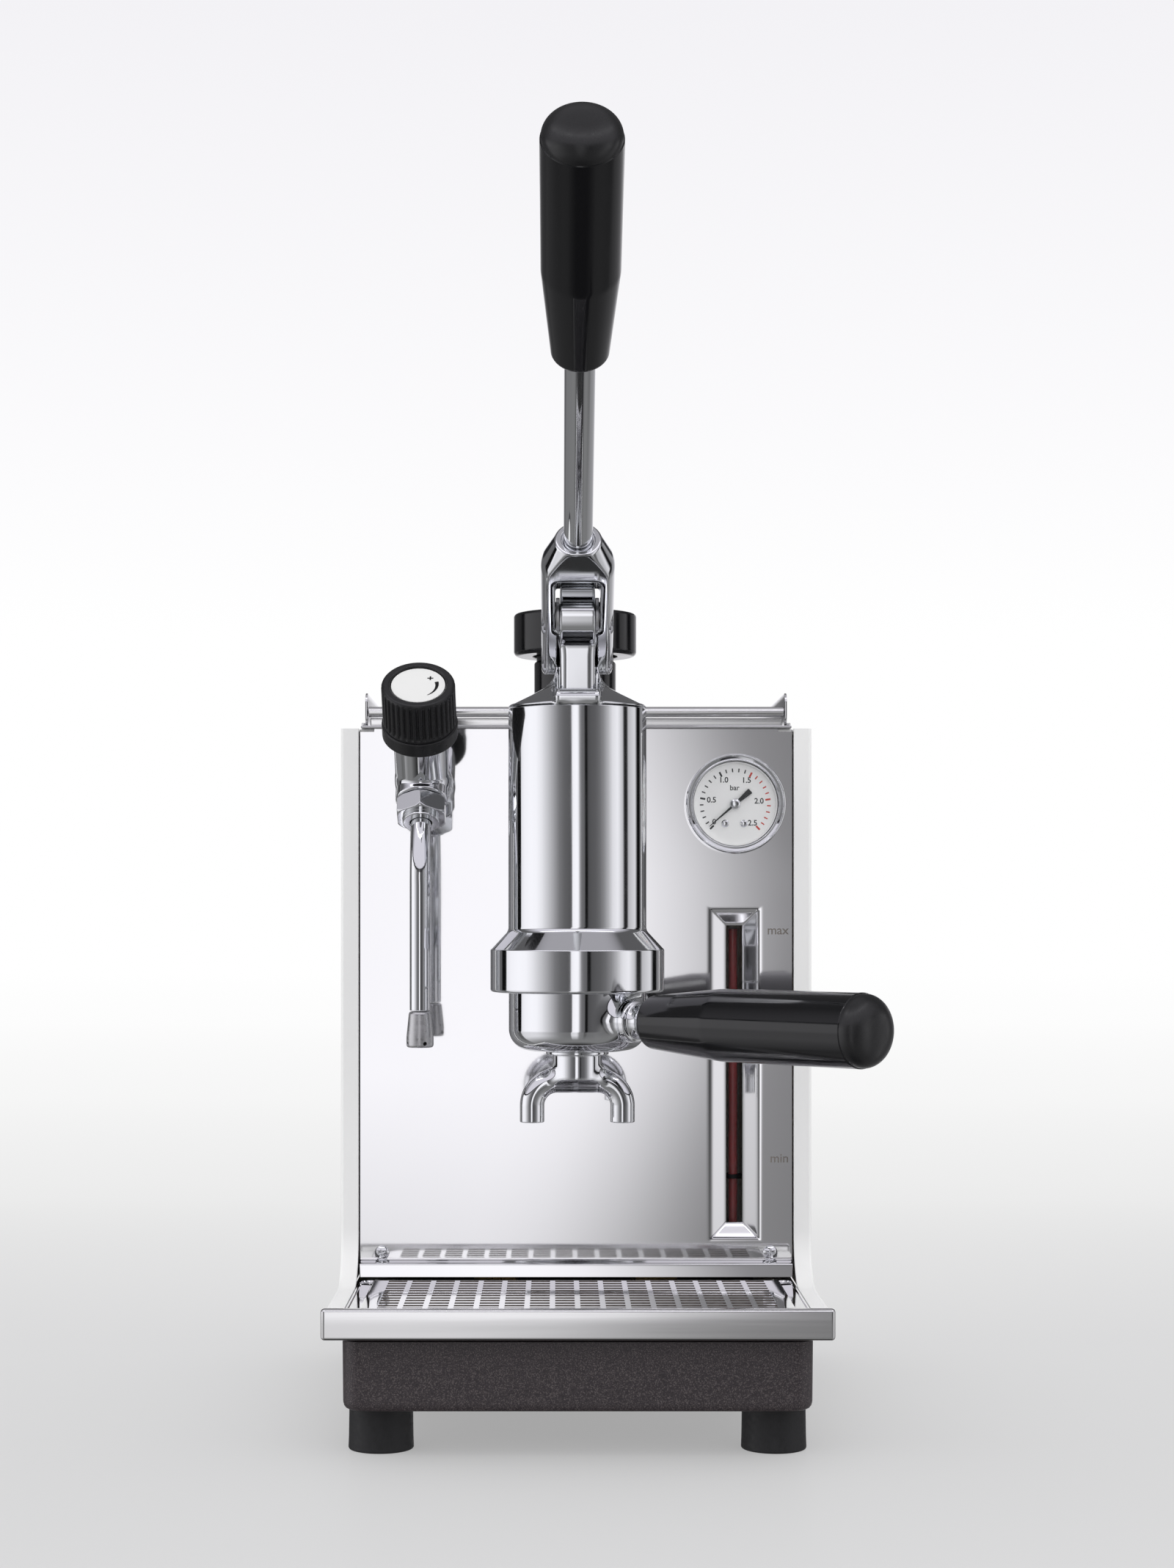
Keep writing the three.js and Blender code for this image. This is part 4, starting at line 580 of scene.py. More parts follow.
def panel_grid():
    """The sheet's front: depth is a ramp of the distance in from the pocket's rim, less a ramp of
    the height at the foot."""
    xs = grid_lines(
        np.arange(-92, 54, 8), [-86.05, -85.95, 85.95, 86.05, 88, 92], np.arange(54.6, 81, 0.4),
        [SIGHT_X - SLOT_X, SIGHT_X + SLOT_X],
    )
    zs = grid_lines(
        np.arange(59, 68.5, 0.3), [71], np.arange(72.4, 85, 0.4), np.arange(92, 204, 8),
        np.arange(205, 218, 0.4), np.arange(222, 286, 8), [288, 290.5, 292.1], SLOT_Z,
    )
    x, z = np.meshgrid(xs, zs, indexing="ij")
    inside = np.minimum(POCKET_X - np.abs(x - SIGHT_X), POCKET_Z - np.abs(z - POCKET_MIDDLE))
    pocket = ramp(inside, 0, POCKET_SLOPE, 0.36) - ramp(np.float64(-2), 0, POCKET_SLOPE, 0.36)
    fold = 3 * ramp((65.9 - z) / 1.3, 0, 1, 0.12)
    y = 4 + np.where(inside > -2, 0.56 * pocket, 0) - fold - 0.1 * np.maximum(65 - z, 0)
    drop = 1.25 * (np.abs(x) > 86) * (z > 287)
    points = np.stack([x, y, z - drop], -1).reshape(-1, 3)

    def hole(mx, mz):
        return (np.abs(mx - SIGHT_X) < SLOT_X) & (mz > SLOT_Z[0]) & (mz < SLOT_Z[1])

    return points, open_faces(xs, zs, hole, points, (0, -1, 0))


panel = piece("front_mirror", [panel_grid()], "polished_steel", ["front_panel"], closed=False, angle=60)
thickened(panel, SHEET)

# %% [markdown]
# ## Castings
# The fork, the cap, the valve and the portafilter are castings: shapes that run into each other with
# soft fillets. A lathe outline can't make those, and booleans leave sharp seams. So they are written
# as a distance to the surface, negative inside. Two distances are joined with a smooth minimum,
# which leaves the fillet. The surface is then found on a grid, its points are pulled onto it, and
# the slope of the distance gives the exact normals that a polished surface needs.

# %% Distances
def join(fillet, *distances):
    """The smooth minimum: where two distances differ by less than the fillet, the smaller one less
    a quarter of the squared share that is missing."""
    whole = distances[0]
    for other in distances[1:]:
        h = np.maximum(fillet - np.abs(whole - other), 0) / max(fillet, 1e-6)
        whole = np.minimum(whole, other) - h * h * fillet / 4
    return whole


def meet(edge, *distances):
    """The smooth maximum: what the shapes share, with rounded edges."""
    return -join(edge, *[-d for d in distances])


def cut(edge, whole, *tools):
    """The shape with the tools taken away, with rounded edges."""
    return meet(edge, whole, *[-tool for tool in tools])


def brick(p, low, high, edge=0.0):
    """A block: how far p is from its middle less half its size, the largest of the three."""
    low, high = np.asarray(low, float), np.asarray(high, float)
    q = np.abs(p - (low + high) / 2) - (high - low) / 2
    return meet(edge, q[..., 0], q[..., 1], q[..., 2])


off_brick = brick(np.array([5.0, 0, 0]), (-2, -2, -2), (2, 2, 2))
print("a point 5 mm from the middle of a cube of 4 mm is", off_brick, "mm off it")

# %% [markdown]
# A grid cell whose corners aren't all inside or all outside holds one point, the mean of where the
# surface crosses the cell's edges. Each crossed grid edge makes one quad of the four cells round it.

# %% Grid of a field
def crossed_points(values, where):
    """The mean, in cells, of the places where the sign changes along the twelve edges of a cell."""
    sums, crossings = np.zeros((len(where), 3)), np.zeros(len(where))
    for axis in range(3):
        for i, j in ((0, 0), (0, 1), (1, 0), (1, 1)):
            a = np.zeros(3, int)
            a[(axis + 1) % 3], a[(axis + 2) % 3] = i, j
            b = a.copy()
            b[axis] = 1
            va, vb = values[tuple((where + a).T)], values[tuple((where + b).T)]
            crossed = (va < 0) != (vb < 0)
            share = np.where(crossed, va / np.where(crossed, va - vb, 1), 0)
            sums += crossed[:, None] * (a + share[:, None] * (b - a))
            crossings += crossed
    return where + sums / crossings[:, None]


def crossed_quads(inside, index):
    """One quad for each grid edge whose ends differ, turned so that it faces outwards."""
    count = inside.shape
    quads = []
    for axis in range(3):
        u, v = (axis + 1) % 3, (axis + 2) % 3
        near = np.take(inside, range(count[axis] - 1), axis)
        far = np.take(inside, range(1, count[axis]), axis)
        edge = np.argwhere(near != far)
        keep = (edge[:, [u, v]] > 0).all(1) & (edge[:, u] < count[u] - 1) & (edge[:, v] < count[v] - 1)
        edge = edge[keep]
        out = near[tuple(edge.T)]
        du, dv = np.zeros(3, int), np.zeros(3, int)
        du[u], dv[v] = 1, 1
        quad = np.stack([index[tuple((edge - shift).T)] for shift in (0, du, du + dv, dv)], -1)
        quads.append(np.where(out[:, None], quad, quad[:, ::-1]))
    return np.concatenate(quads)


block = np.zeros((4, 4, 4), bool)
block[1:3, 1:3, 1:3] = True
block_quads = crossed_quads(block, np.arange(27).reshape(3, 3, 3))
print("a block of 8 grid points has", len(block_quads), "quads")

# %% Surface of a field
def slope(field, p):
    """How fast the field grows along each axis, from two readings a hair apart."""
    h = 0.02
    return np.stack([(field(p + s) - field(p - s)) / (2 * h) for s in np.eye(3) * h], -1)


def net(field, low, high, step):
    """Points, quads and normals of the surface where the field is zero. Three times each point goes
    back along the slope by the field's value over the slope's square."""
    low, high = np.asarray(low, float), np.asarray(high, float)
    count = np.ceil((high - low) / step).astype(int) + 1
    axes = [low[k] + step * np.arange(count[k]) for k in range(3)]
    values = np.empty(count)
    for first in range(0, count[0], 24):
        part = np.meshgrid(axes[0][first : first + 24], axes[1], axes[2], indexing="ij")
        values[first : first + 24] = field(np.stack(part, -1))
    inside = values < 0
    corners = [(i, j, k) for i in (0, 1) for j in (0, 1) for k in (0, 1)]
    total = sum(
        inside[i : count[0] - 1 + i, j : count[1] - 1 + j, k : count[2] - 1 + k].astype(np.int8)
        for i, j, k in corners
    )
    active = (total > 0) & (total < 8)
    index = np.full(active.shape, -1)
    index[active] = np.arange(active.sum())
    points = low + step * crossed_points(values, np.argwhere(active))
    for _ in range(3):
        g = slope(field, points)
        away = np.clip(field(points), -step, step) / np.maximum((g**2).sum(-1), 0.2)
        points = points - away[:, None] * g
    normals = slope(field, points)
    normals /= np.maximum(np.linalg.norm(normals, axis=1), 1e-9)[:, None]
    return points, crossed_quads(inside, index), normals


ball = net(lambda p: np.linalg.norm(p, axis=-1) - 4, (-5, -5, -5), (5, 5, 5), 1.0)
print("a ball of 4 mm has", len(ball[1]), "quads, radius", np.linalg.norm(ball[0], axis=1).mean())

# %% [markdown]
# ## Front panel screws
# The first casting is a small one. A screw's pan head is a part of a ball over a short cylinder, and
# its cross recess is cut from it. As a distance it gets its soft edges with no further work.

# %% Front panel screws
def casting(name, field, low, high, step, place, finish, stands_for=(), body="machine"):
    """A piece from a distance field drawn in its own place."""
    points, quads, normals = net(field, low, high, step)
    surface = placed((points, quads), place)
    return piece(name, [surface], finish, stands_for, body, normals=normals @ place[:3, :3].T)


def screw_head(p):
    """A pan head with a cross recess: a ball of 4.9 whose middle lies 3.2 deep, over a cylinder."""
    radial = np.hypot(p[..., 0], p[..., 1])
    dome = np.sqrt(radial**2 + (p[..., 2] + 3.2) ** 2) - 4.9
    head = meet(0.25, dome, radial - 3.1, -p[..., 2])
    arm_x = brick(p, (-1.5, -0.32, 0.75), (1.5, 0.32, 3), 0.1)
    arm_y = brick(p, (-0.32, -1.5, 0.75), (0.32, 1.5, 3), 0.1)
    return cut(0.12, head, np.minimum(arm_x, arm_y))


for (side, sign), tilt in zip(SIDES, (18, -7)):
    place = move(sign * 82.7, 3.8, 68.9) @ FRONT @ turn("Z", tilt)
    low, high = (-3.4, -3.4, -0.3), (3.4, 3.4, 2)
    casting(f"screw_{side}", screw_head, low, high, 0.14, place, "chrome", [f"panel_screw_{side}"])

# %% [markdown]
# ## Cup shelf and rails
# A satin tray with a low upstand behind a round rod, and a plate rail at each side with its foot
# turned out. The tray has a round hole for the filler neck, so its points lie on rays from the
# hole's middle: where a ray meets the hole, and where it leaves the tray.

# %% Cup shelf
def across(sign, near, far):
    """The two x values of a piece that lies from near to far on one side, the lower one first."""
    return sorted((sign * near, sign * far))


def shelf():
    """Along each ray the outline lies at the least of the two spans to its sides over the ray's
    own x and y."""
    low, high, middle, hole = np.array([-91.7, 2.7]), np.array([91.7, 168.3]), np.array([0, 70.0]), 19.2
    corners = np.array([low, (high[0], low[1]), high, (low[0], high[1])]) - middle
    rays = [np.linspace(-np.pi, np.pi, 120, endpoint=False), np.arctan2(corners[:, 1], corners[:, 0])]
    angle = np.sort(np.concatenate(rays))
    way = np.stack([np.cos(angle), np.sin(angle)], -1)
    ahead, back = (high - middle) / np.maximum(way, 1e-9), (low - middle) / np.minimum(way, -1e-9)
    reach = np.where(way > 0, ahead, back).min(1)
    round_hole = np.full(len(way), hole)
    spans = [
        (reach - 0.3, 292.3), (reach, 292.6), (reach, 293.2), (reach - 0.3, 293.5),
        (round_hole, 293.5), (round_hole, 292.3),
    ]
    rings = [np.column_stack([way * span[:, None] + middle, np.full(len(way), z)]) for span, z in spans]
    return np.concatenate(rings), grid_faces(len(spans), len(way), wrap=True, closed=True)


piece("shelf_plate", [shelf()], "satin_steel", ["cup_tray"])
piece("shelf_upstand", [slab((-88, 8, 293.4), (88, 9.2, 297.1), 0.4)], "satin_steel", look="bright_steel")
for side, sign in SIDES:
    near, far = across(sign, 92.1, 98.9)
    top = slab((near, 3.2, 290.9), (far, 168.3, 292.0), 0.3)
    near, far = across(sign, 84, 92.3)
    corner = slab((near, 5.6, 289.5), (far, 24, 292.15), 0.2)
    piece(f"side_{side}_top", [top, corner], "white_paint")

# %% Cup rails
# The place that carries what is drawn flat, in X and Y, to Y and Z, and its height to X.
TO_X = np.array([[0, 0, 1, 0], [1, 0, 0, 0], [0, 1, 0, 0], [0, 0, 0, 1.0]])
for side, sign in SIDES:
    loops = [loop(3 + i, 293.8 + i, 165 - i, 307.5 - i, 4 - i) for i in (0.25, 0.06, 0, 0, 0.06, 0.25)]
    plate = placed(loft(loops, [-0.5, -0.42, -0.2, 0.2, 0.42, 0.5]), move(sign * 89.3, 0, 0) @ TO_X)
    near, far = across(sign, 89.0, 91.6)
    foot = slab((near, 6, 293.8), (far, 162, 294.8), 0.25, corner=1.5)
    piece(f"rail_{side}", [plate, foot], "polished_steel", [f"cup_rail_{side}"])
ROD = [(0, -88.5), (2.2, -88.5, 0.3), (2.2, 88.5, 0.3), (0, 88.5)]
rod_place = move(0, 5.5, 299.4) @ turn("Y", 90)
lathe("rail_rod", ROD, 48, rod_place, "satin_steel", ["cup_rail_rod"], look="bright_steel")

# %% [markdown]
# ## Filler neck and cap
# Turned in glossy black plastic. The cap's edges are generous, and its top is a little dished.

# %% Filler
NECK = [
    (13, 249.6), (18.4, 249.6, 0.4), (18.4, 326, 1), (17.4, 326.6, 0.3), (17.4, 341, 0.5), (13, 341, 0.5),
]
lathe("filler_neck_black", NECK, 96, BOILER, "gloss_black", ["filler_neck"], closed=True)
CAP = [
    (0, 347.3), (22.5, 347.4, 3), (24.5, 348, 2), (27.6, 348, 2.6), (27.6, 329, 2.2), (19, 329, 0.6),
    (19, 343.6), (0, 343.6),
]
lathe("filler_cap_black", CAP, 128, BOILER, "gloss_black", ["filler_cap"], "cap", steps=8)

# %% [markdown]
# ## Pressure gauge
# A chromed bezel round a white dial. The scale turns clockwise from lower left to lower right over
# 271 degrees, with a long tick at each half and a short tick at each tenth; the upper part is red.
# The marks are thin slips of ink, and only plain figures are written.

# %% Gauge case
BEZEL = [
    (0, -23.7), (18.9, -23.7, 0.6), (18.9, -3.7), (21.2, -3.7, 0.3), (21.2, 3.2, 0.9), (20.6, 4, 0.5),
    (20.1, 3.4, 0.5), (18.9, 3.0, 0.5), (18.5, 3.5, 0.35), (18.1, 3.0, 0.3), (18.0, -2), (0, -2),
]
DIAL = -0.7
lathe("gauge_bezel", BEZEL, 160, GAUGE, "chrome", ["gauge_case"])
FACE = [(0, -1.7), (17.8, -1.7), (17.8, DIAL, 0.1), (0, DIAL)]
lathe("gauge_face", FACE, 128, GAUGE, "dial", ["gauge_dial"])
SEAL = [(17.3, -0.6), (17.3, 1.6, 0.2), (17.9, 1.6, 0.2), (17.9, -0.6)]
lathe("gauge_seal", SEAL, 128, GAUGE, "dial", closed=True)
PANE = [(0, 1.8), (17.9, 1.8), (17.9, 2.8, 0.2), (0, 2.9)]
lathe("gauge_pane", PANE, 96, GAUGE, "glass", ["gauge_glass"])

# %% Gauge marks
def mark(angle, inner, outer, width):
    """A thin slip lying radially on the dial."""
    flat = slab((inner, -width / 2, DIAL), (outer, width / 2, DIAL + 0.04), 0.01, 1, 0.02)
    return placed(flat, GAUGE @ turn("Z", angle))


def lettering(text, size, place, bold=0.05):
    """Plain letters as a flat mesh, with their middle at the place."""
    curve = bpy.data.curves.new("letters", "FONT")
    curve.body = text
    curve.size = size
    curve.align_x = "CENTER"
    curve.align_y = "CENTER"
    curve.extrude = 0.02
    curve.offset = bold
    curve.resolution_u = 4
    holder = linked("letters", curve)
    view = bpy.context.evaluated_depsgraph_get()
    mesh = bpy.data.meshes.new_from_object(holder.evaluated_get(view))
    points = np.empty(len(mesh.vertices) * 3)
    mesh.vertices.foreach_get("co", points)
    faces = [list(face.vertices) for face in mesh.polygons]
    bpy.data.objects.remove(holder)
    bpy.data.curves.remove(curve)
    bpy.data.meshes.remove(mesh)
    return placed((points.reshape(-1, 3), faces), place)


START, TENTH, RED_FROM, LETTERS = 225, 10.86, 15, DIAL + 0.03
low_marks, high_marks = [], []
for tenth in range(26):
    whole = tenth % 5 == 0
    target = high_marks if tenth >= RED_FROM else low_marks
    inner, width = (12.9, 0.8) if whole else (13.5, 0.52)
    target.append(mark(START - tenth * TENTH, inner, 15.1, width))
figures = (
    ("0", 10.4, -1.6, -0.3), ("0.5", 10.2, 0, 0), ("1.0", 10.2, -0.4, 1.0), ("1.5", 10.2, 0, 1.0),
    ("2.0", 10.2, 0, -0.2), ("2.5", 10.4, 0.2, -0.6),
)
for half, (text, reach, side, up) in enumerate(figures):
    angle = math.radians(START - half * 5 * TENTH)
    spot = move(reach * math.cos(angle) + side, reach * math.sin(angle) + up, LETTERS)
    low_marks.append(lettering(text, 3.3, GAUGE @ spot, 0.06))
low_marks.append(lettering("bar", 3.1, GAUGE @ move(-0.3, 6.8, LETTERS), 0.04))
piece("gauge_marks", low_marks, "dial", look="ink")
piece("gauge_marks_high", high_marks, "dial", look="red_ink")

# %% Gauge rivets and needle
RIVET = rounded([(0, DIAL), (1.6, DIAL), (1.6, -0.45, 0.1), (1.0, 0.0, 0.4), (0, 0.15)])
piece("gauge_rivets", [turned(RIVET, 32, GAUGE @ move(x, -8.3, 0)) for x in (-4.3, 3.7)], "chrome")
HAND = [
    (-8.5, -1.3, 0.4), (0, -0.55, 2), (14.2, -0.16, 0.1), (14.9, 0), (14.2, 0.16, 0.1), (0, 0.55, 2),
    (-8.5, 1.3, 0.4),
]
hand = rounded(HAND, 4, True)
blade = placed(loft([hand, hand], [0.1, 0.5]), GAUGE @ turn("Z", 221))
piece("gauge_hand", [blade], "matt_black", ["gauge_needle"], "needle")
BOSS = [(0, -0.4), (2.2, -0.4), (2.2, 0.5, 0.3), (1.3, 1.0, 0.8), (0, 1.15)]
lathe("gauge_boss", BOSS, 48, GAUGE, "chrome", body="needle")

# %% [markdown]
# ## Sight glass
# A glass tube behind the pocket's slot, with a dark red column, a black ring for the level, and a
# small mark for the highest and the lowest level on the panel.

# %% Sight glass
TUBE = [(2.1, 76.6, 0.1), (3, 76.6, 0.2), (3, 213.4, 0.2), (2.1, 213.4, 0.1)]
lathe("sight_tube_glass", TUBE, 40, SIGHT, "glass", ["sight_tube"], closed=True)
COLUMN = [(0, 76.6), (1.95, 76.6, 0.1), (1.95, 207, 0.3), (0, 206.4)]
lathe("sight_column_red", COLUMN, 32, SIGHT, "red_liquid", ["sight_column"])
RING = [(3.3, 99.6, 0.2), (4.1, 99.6, 0.3), (4.1, 101.4, 0.3), (3.3, 101.4, 0.2)]
lathe("sight_ring_black", RING, 40, SIGHT, "matt_black", ["sight_ring"], closed=True)
words = (("max", 86.0, 206.2), ("min", 86.6, 109.0))
levels = [lettering(text, 5.4, move(x, 3.97, z) @ FRONT) for text, x, z in words]
piece("level_marks", levels, "polished_steel", look="faint_ink")

# %% [markdown]
# ## Group head
# The cylinder, the fillet at its foot, a cone and the flange are one turned outline. The neck to the
# boiler leaves it at the back, with a collar against the panel.

# %% Group head
CYLINDER_R = 27.75
HEAD = [
    (28.4, 182, 0.3), (35, 182, 1.2), (35, 199, 0.7), (CYLINDER_R, 206.8, 3.2), (CYLINDER_R, 295.7, 0.35),
    (24.5, 295.7), (24.5, 191.8), (32.4, 191.8), (32.4, 183.9), (28.4, 183.9),
]
lathe("group_cylinder", HEAD, 192, GROUP, "chrome", ["group_head"], closed=True)


NECK_R, NECK_Z, NECK_END, COLLAR_R, PANEL_Y = 21, 218, 73.7, 25, 63.7


def neck_field(p):
    """A pipe along Y joined with its collar, less what lies inside the cylinder's wall."""
    off = np.hypot(p[..., 0], p[..., 2] - NECK_Z)
    y = p[..., 1]
    pipe = meet(0.3, off - NECK_R, y - NECK_END)
    collar = meet(0.8, off - COLLAR_R, y - PANEL_Y, PANEL_Y - 3 - y)
    return cut(0.1, join(0.5, pipe, collar), np.hypot(p[..., 0], y) - (CYLINDER_R - 1.55))


casting("group_neck_pipe", neck_field, (-26, -2, 192), (26, 75, 244), 0.8, GROUP, "chrome")

# %% [markdown]
# ## Group cap
# A low cone with the slot of the connecting rod, the toe in front of the slot, and the lug of the
# fulcrum, which runs into the cone with a wide fillet.

# %% Group cap
PIN_HOLE, LUG_Y, LUG_Z, LUG_R, CAP_LOW, CAP_TOP = 4.3, 13, 319, 6.2, 296.0, 306.5


def cap_field(p):
    """The cone's slope is the weighted sum of radius and height; the lug is a round eye met with
    two flats and joined to the cone; the toe is a round bar across; slot and pin hole are cut."""
    x, y, z = p[..., 0], p[..., 1], p[..., 2]
    radial = np.hypot(x, y)
    from_pin = np.hypot(y - LUG_Y, z - LUG_Z)
    side = ((radial - CYLINDER_R) * 9.5 + (z - CAP_LOW - 1) * 19.75) / math.hypot(9.5, 19.75)
    cone = meet(0.6, radial - CYLINDER_R, side, z - CAP_TOP, CAP_LOW - z)
    post = meet(0.1, np.abs(y - LUG_Y) - LUG_R, z - LUG_Z)
    lug = meet(0.8, np.abs(x) - 8.55, join(0.1, from_pin - LUG_R, post))
    body = join(9.0, cone, lug)
    toe = meet(2.0, np.hypot(y + 25.4, z - 298.6) - 3.5, np.abs(x) - 9.0)
    toe = meet(0.2, toe, np.minimum(CAP_LOW - z, CYLINDER_R + 0.2 - radial))
    body = join(1.4, meet(0.3, body, CAP_LOW - z), toe)
    slot = meet(1.2, np.abs(x) - 8.3, y - 6.8, -23.4 - y)
    return cut(0.4, cut(0.5, body, slot), from_pin - PIN_HOLE)


low, high = (-28.6, -29.6, 294.2), (28.6, 28.6, 326)
casting("group_cap_cast", cap_field, low, high, 0.45, GROUP, "chrome", ["group_cap"])

# %% [markdown]
# ## Lever
# The fork starts as a turned blank with a coned end. It is milled flat on two sides and rounded about
# the fulcrum, so the flats leave arches where they meet the cone. The rod is let into the collar,
# and the grip is a long taper in glossy black.

# %% Fork
BLANK_R, FLAT, FORK_TOP, WEB_Y, WEB_Z = 14.5, 8.1, 70, 5.6, 34.2


def fork_field(p):
    """A turned blank met with a slab that is round below the fulcrum; an arched slot with a thin
    web at its rear, two pin holes with their washers' seats, and the rod's seat are cut."""
    x, y, z = p[..., 0], p[..., 1], p[..., 2]
    radial = np.hypot(x, y)
    cone = ((radial - BLANK_R) * 13 + (z - FORK_TOP + 13) * 5.6) / math.hypot(13, 5.6)
    blank = meet(1.0, radial - BLANK_R, cone, z - FORK_TOP)
    flats = np.where(z < 0, np.hypot(y, z), np.abs(y)) - FLAT
    body = meet(0.7, blank, flats)
    arch = np.hypot(x * 0.55, z - 38) - 15.2
    slot = meet(2.6, np.abs(x) - 8.85, meet(1.0, z - 53.4, arch))
    slot = meet(1.2, slot, np.minimum(y - WEB_Y, z - WEB_Z))
    body = cut(2.0, body, slot)
    for height in (0, PIN_GAP):
        around = np.hypot(y, z - height)
        body = cut(0.5, body, around - PIN_HOLE)
        body = cut(0.4, body, meet(0.2, around - 6.6, 12.6 - np.abs(x)))
    seat = meet(0.2, radial - 6.6, 68.6 - z)
    return cut(0.4, body, seat, meet(0.1, radial - 5.7, 60 - z))


low, high = (-15.2, -9, -9), (15.2, 9, 71)
casting("lever_fork_cast", fork_field, low, high, 0.42, LEVER, "chrome", ["lever_fork"], "lever")

# %% Pins and rod
def cross_pin(place):
    """A pin with a washer inside each arm and a clip at each end: half an outline and its mirror."""
    corners = [
        (0, 0), (4, 0), (4, 7.1, 0.05), (7.4, 7.1, 0.3), (7.4, 8.6, 0.3), (4, 8.6, 0.05), (4, 12.7, 0.05),
        (5.6, 12.7, 0.2), (5.6, 13.5, 0.2), (3.7, 13.5), (3.7, 13.8), (4, 13.9, 0.1), (4, 14.4, 0.4),
        (0, 14.5),
    ]
    half = rounded(corners)[1:]
    return turned(np.concatenate([half[:0:-1] * (1, -1), half[1:]]), 48, place @ turn("Y", 90))


piece("fulcrum_pin_turned", [cross_pin(LEVER)], "satin_steel", ["fulcrum_pin"], "lever")
piece("rod_pin_turned", [cross_pin(LEVER @ move(0, 0, PIN_GAP))], "satin_steel", ["rod_pin"], "lever")
ROD = [(0, 60), (5.65, 60, 0.2), (5.65, 181), (0, 181)]
lathe("lever_rod_turned", ROD, 96, LEVER, "chrome", ["lever_rod"], "lever")

# %% [markdown]
# Both grips are one turned form: a small round end, a long taper, a straight stretch, a crisp ring
# and a full dome. The dome is duller than the rest, so it is a piece of its own.

# %% Grips
GRIP_R = 13.7


def grip(start, taper_end, end, seat):
    """The grip's outline up to its ring."""
    corners = [
        (seat, start + 10), (seat, start + 0.6, 0.1), (seat + 0.5, start + 0.1, 0.3), (10.4, start, 3.4),
        (13.95, taper_end, 30), (14, end - 0.2, 0.25), (GRIP_R, end + 0.1, 0.05), (0, end + 0.1),
    ]
    return rounded(corners, 8)


def grip_dome(end, dome=8.0):
    """Height is one less the 2.6th power of the radius's share, to the power of 1 over 2.2."""
    radius = GRIP_R * np.cos(np.linspace(0, 1, 28) * math.pi / 2) ** 0.8
    height = end + 0.25 + dome * (1 - (radius / GRIP_R) ** 2.6) ** (1 / 2.2)
    radius[-1] = 0
    return np.concatenate([[(0, end - 1), (GRIP_R, end - 1)], np.stack([radius, height], -1)])


def add_grip(names, sizes, place, stands_for, body):
    """A grip and its dome, on one body. The sizes are those of the grip's outline."""
    piece(names[0], [turned(grip(*sizes), 128, place)], "gloss_black", [stands_for], body)
    piece(names[1], [turned(grip_dome(sizes[2]), 96, place)], "gloss_black", (), body, "satin_black")


add_grip(("lever_grip_black", "lever_grip_dome"), (168, 208, 264.5, 5.75), LEVER, "lever_grip", "lever")

# %% [markdown]
# ## Connecting rod
# Its round eye fills the fork's slot, and its flat bar has soft edges. It goes down through the
# cap's slot to the piston.

# %% Connecting rod
EYE_R, EYE_X, BAR_Y, ROD_LENGTH, FOOT_R = 11.5, 7, 3.4, 80, 8


def rod_field(p):
    """A round eye, a flat bar that is widest at both ends, a round foot and its pin, joined."""
    x, y, z = p[..., 0], p[..., 1], p[..., 2]
    eye = meet(0.9, np.hypot(y, z) - EYE_R, np.abs(x) - EYE_X)
    waist = EYE_X + 0.8 * np.clip((np.abs(z + 22) - 5) / 9, 0, 1) ** 2
    flat = meet(3.0, np.abs(x) - waist, np.abs(y) - BAR_Y, z + 6, -ROD_LENGTH - 2 - z)
    from_foot = np.hypot(y, z + ROD_LENGTH)
    foot = meet(0.5, from_foot - FOOT_R, np.abs(x) - EYE_X)
    pin = meet(0.4, from_foot - FOOT_R / 2, np.abs(x) - 2 * FOOT_R)
    body = join(1.0, join(1.6, eye, flat), foot, pin)
    return cut(0.4, body, np.hypot(y, z) - PIN_HOLE)


low, high = (-16.6, -12, -88.6), (16.6, 12, 12.2)
casting("con_rod_forged", rod_field, low, high, 0.5, CON_ROD, "chrome", ["con_rod"], "connecting_rod")

# %% [markdown]
# ## Portafilter
# The body is a cup with a round lower edge, two bayonet ears, and an arm that flares out of it. The
# handle is turned like the lever's grip.

# %% Portafilter
CUP_R, CUP_LOW, CUP_TOP, CUP_EDGE, EAR_R, EAR_Z, ARM_R, ARM_IN = 27.6, 158.6, 186.4, 8.5, 31.4, 185.3, 7, 18


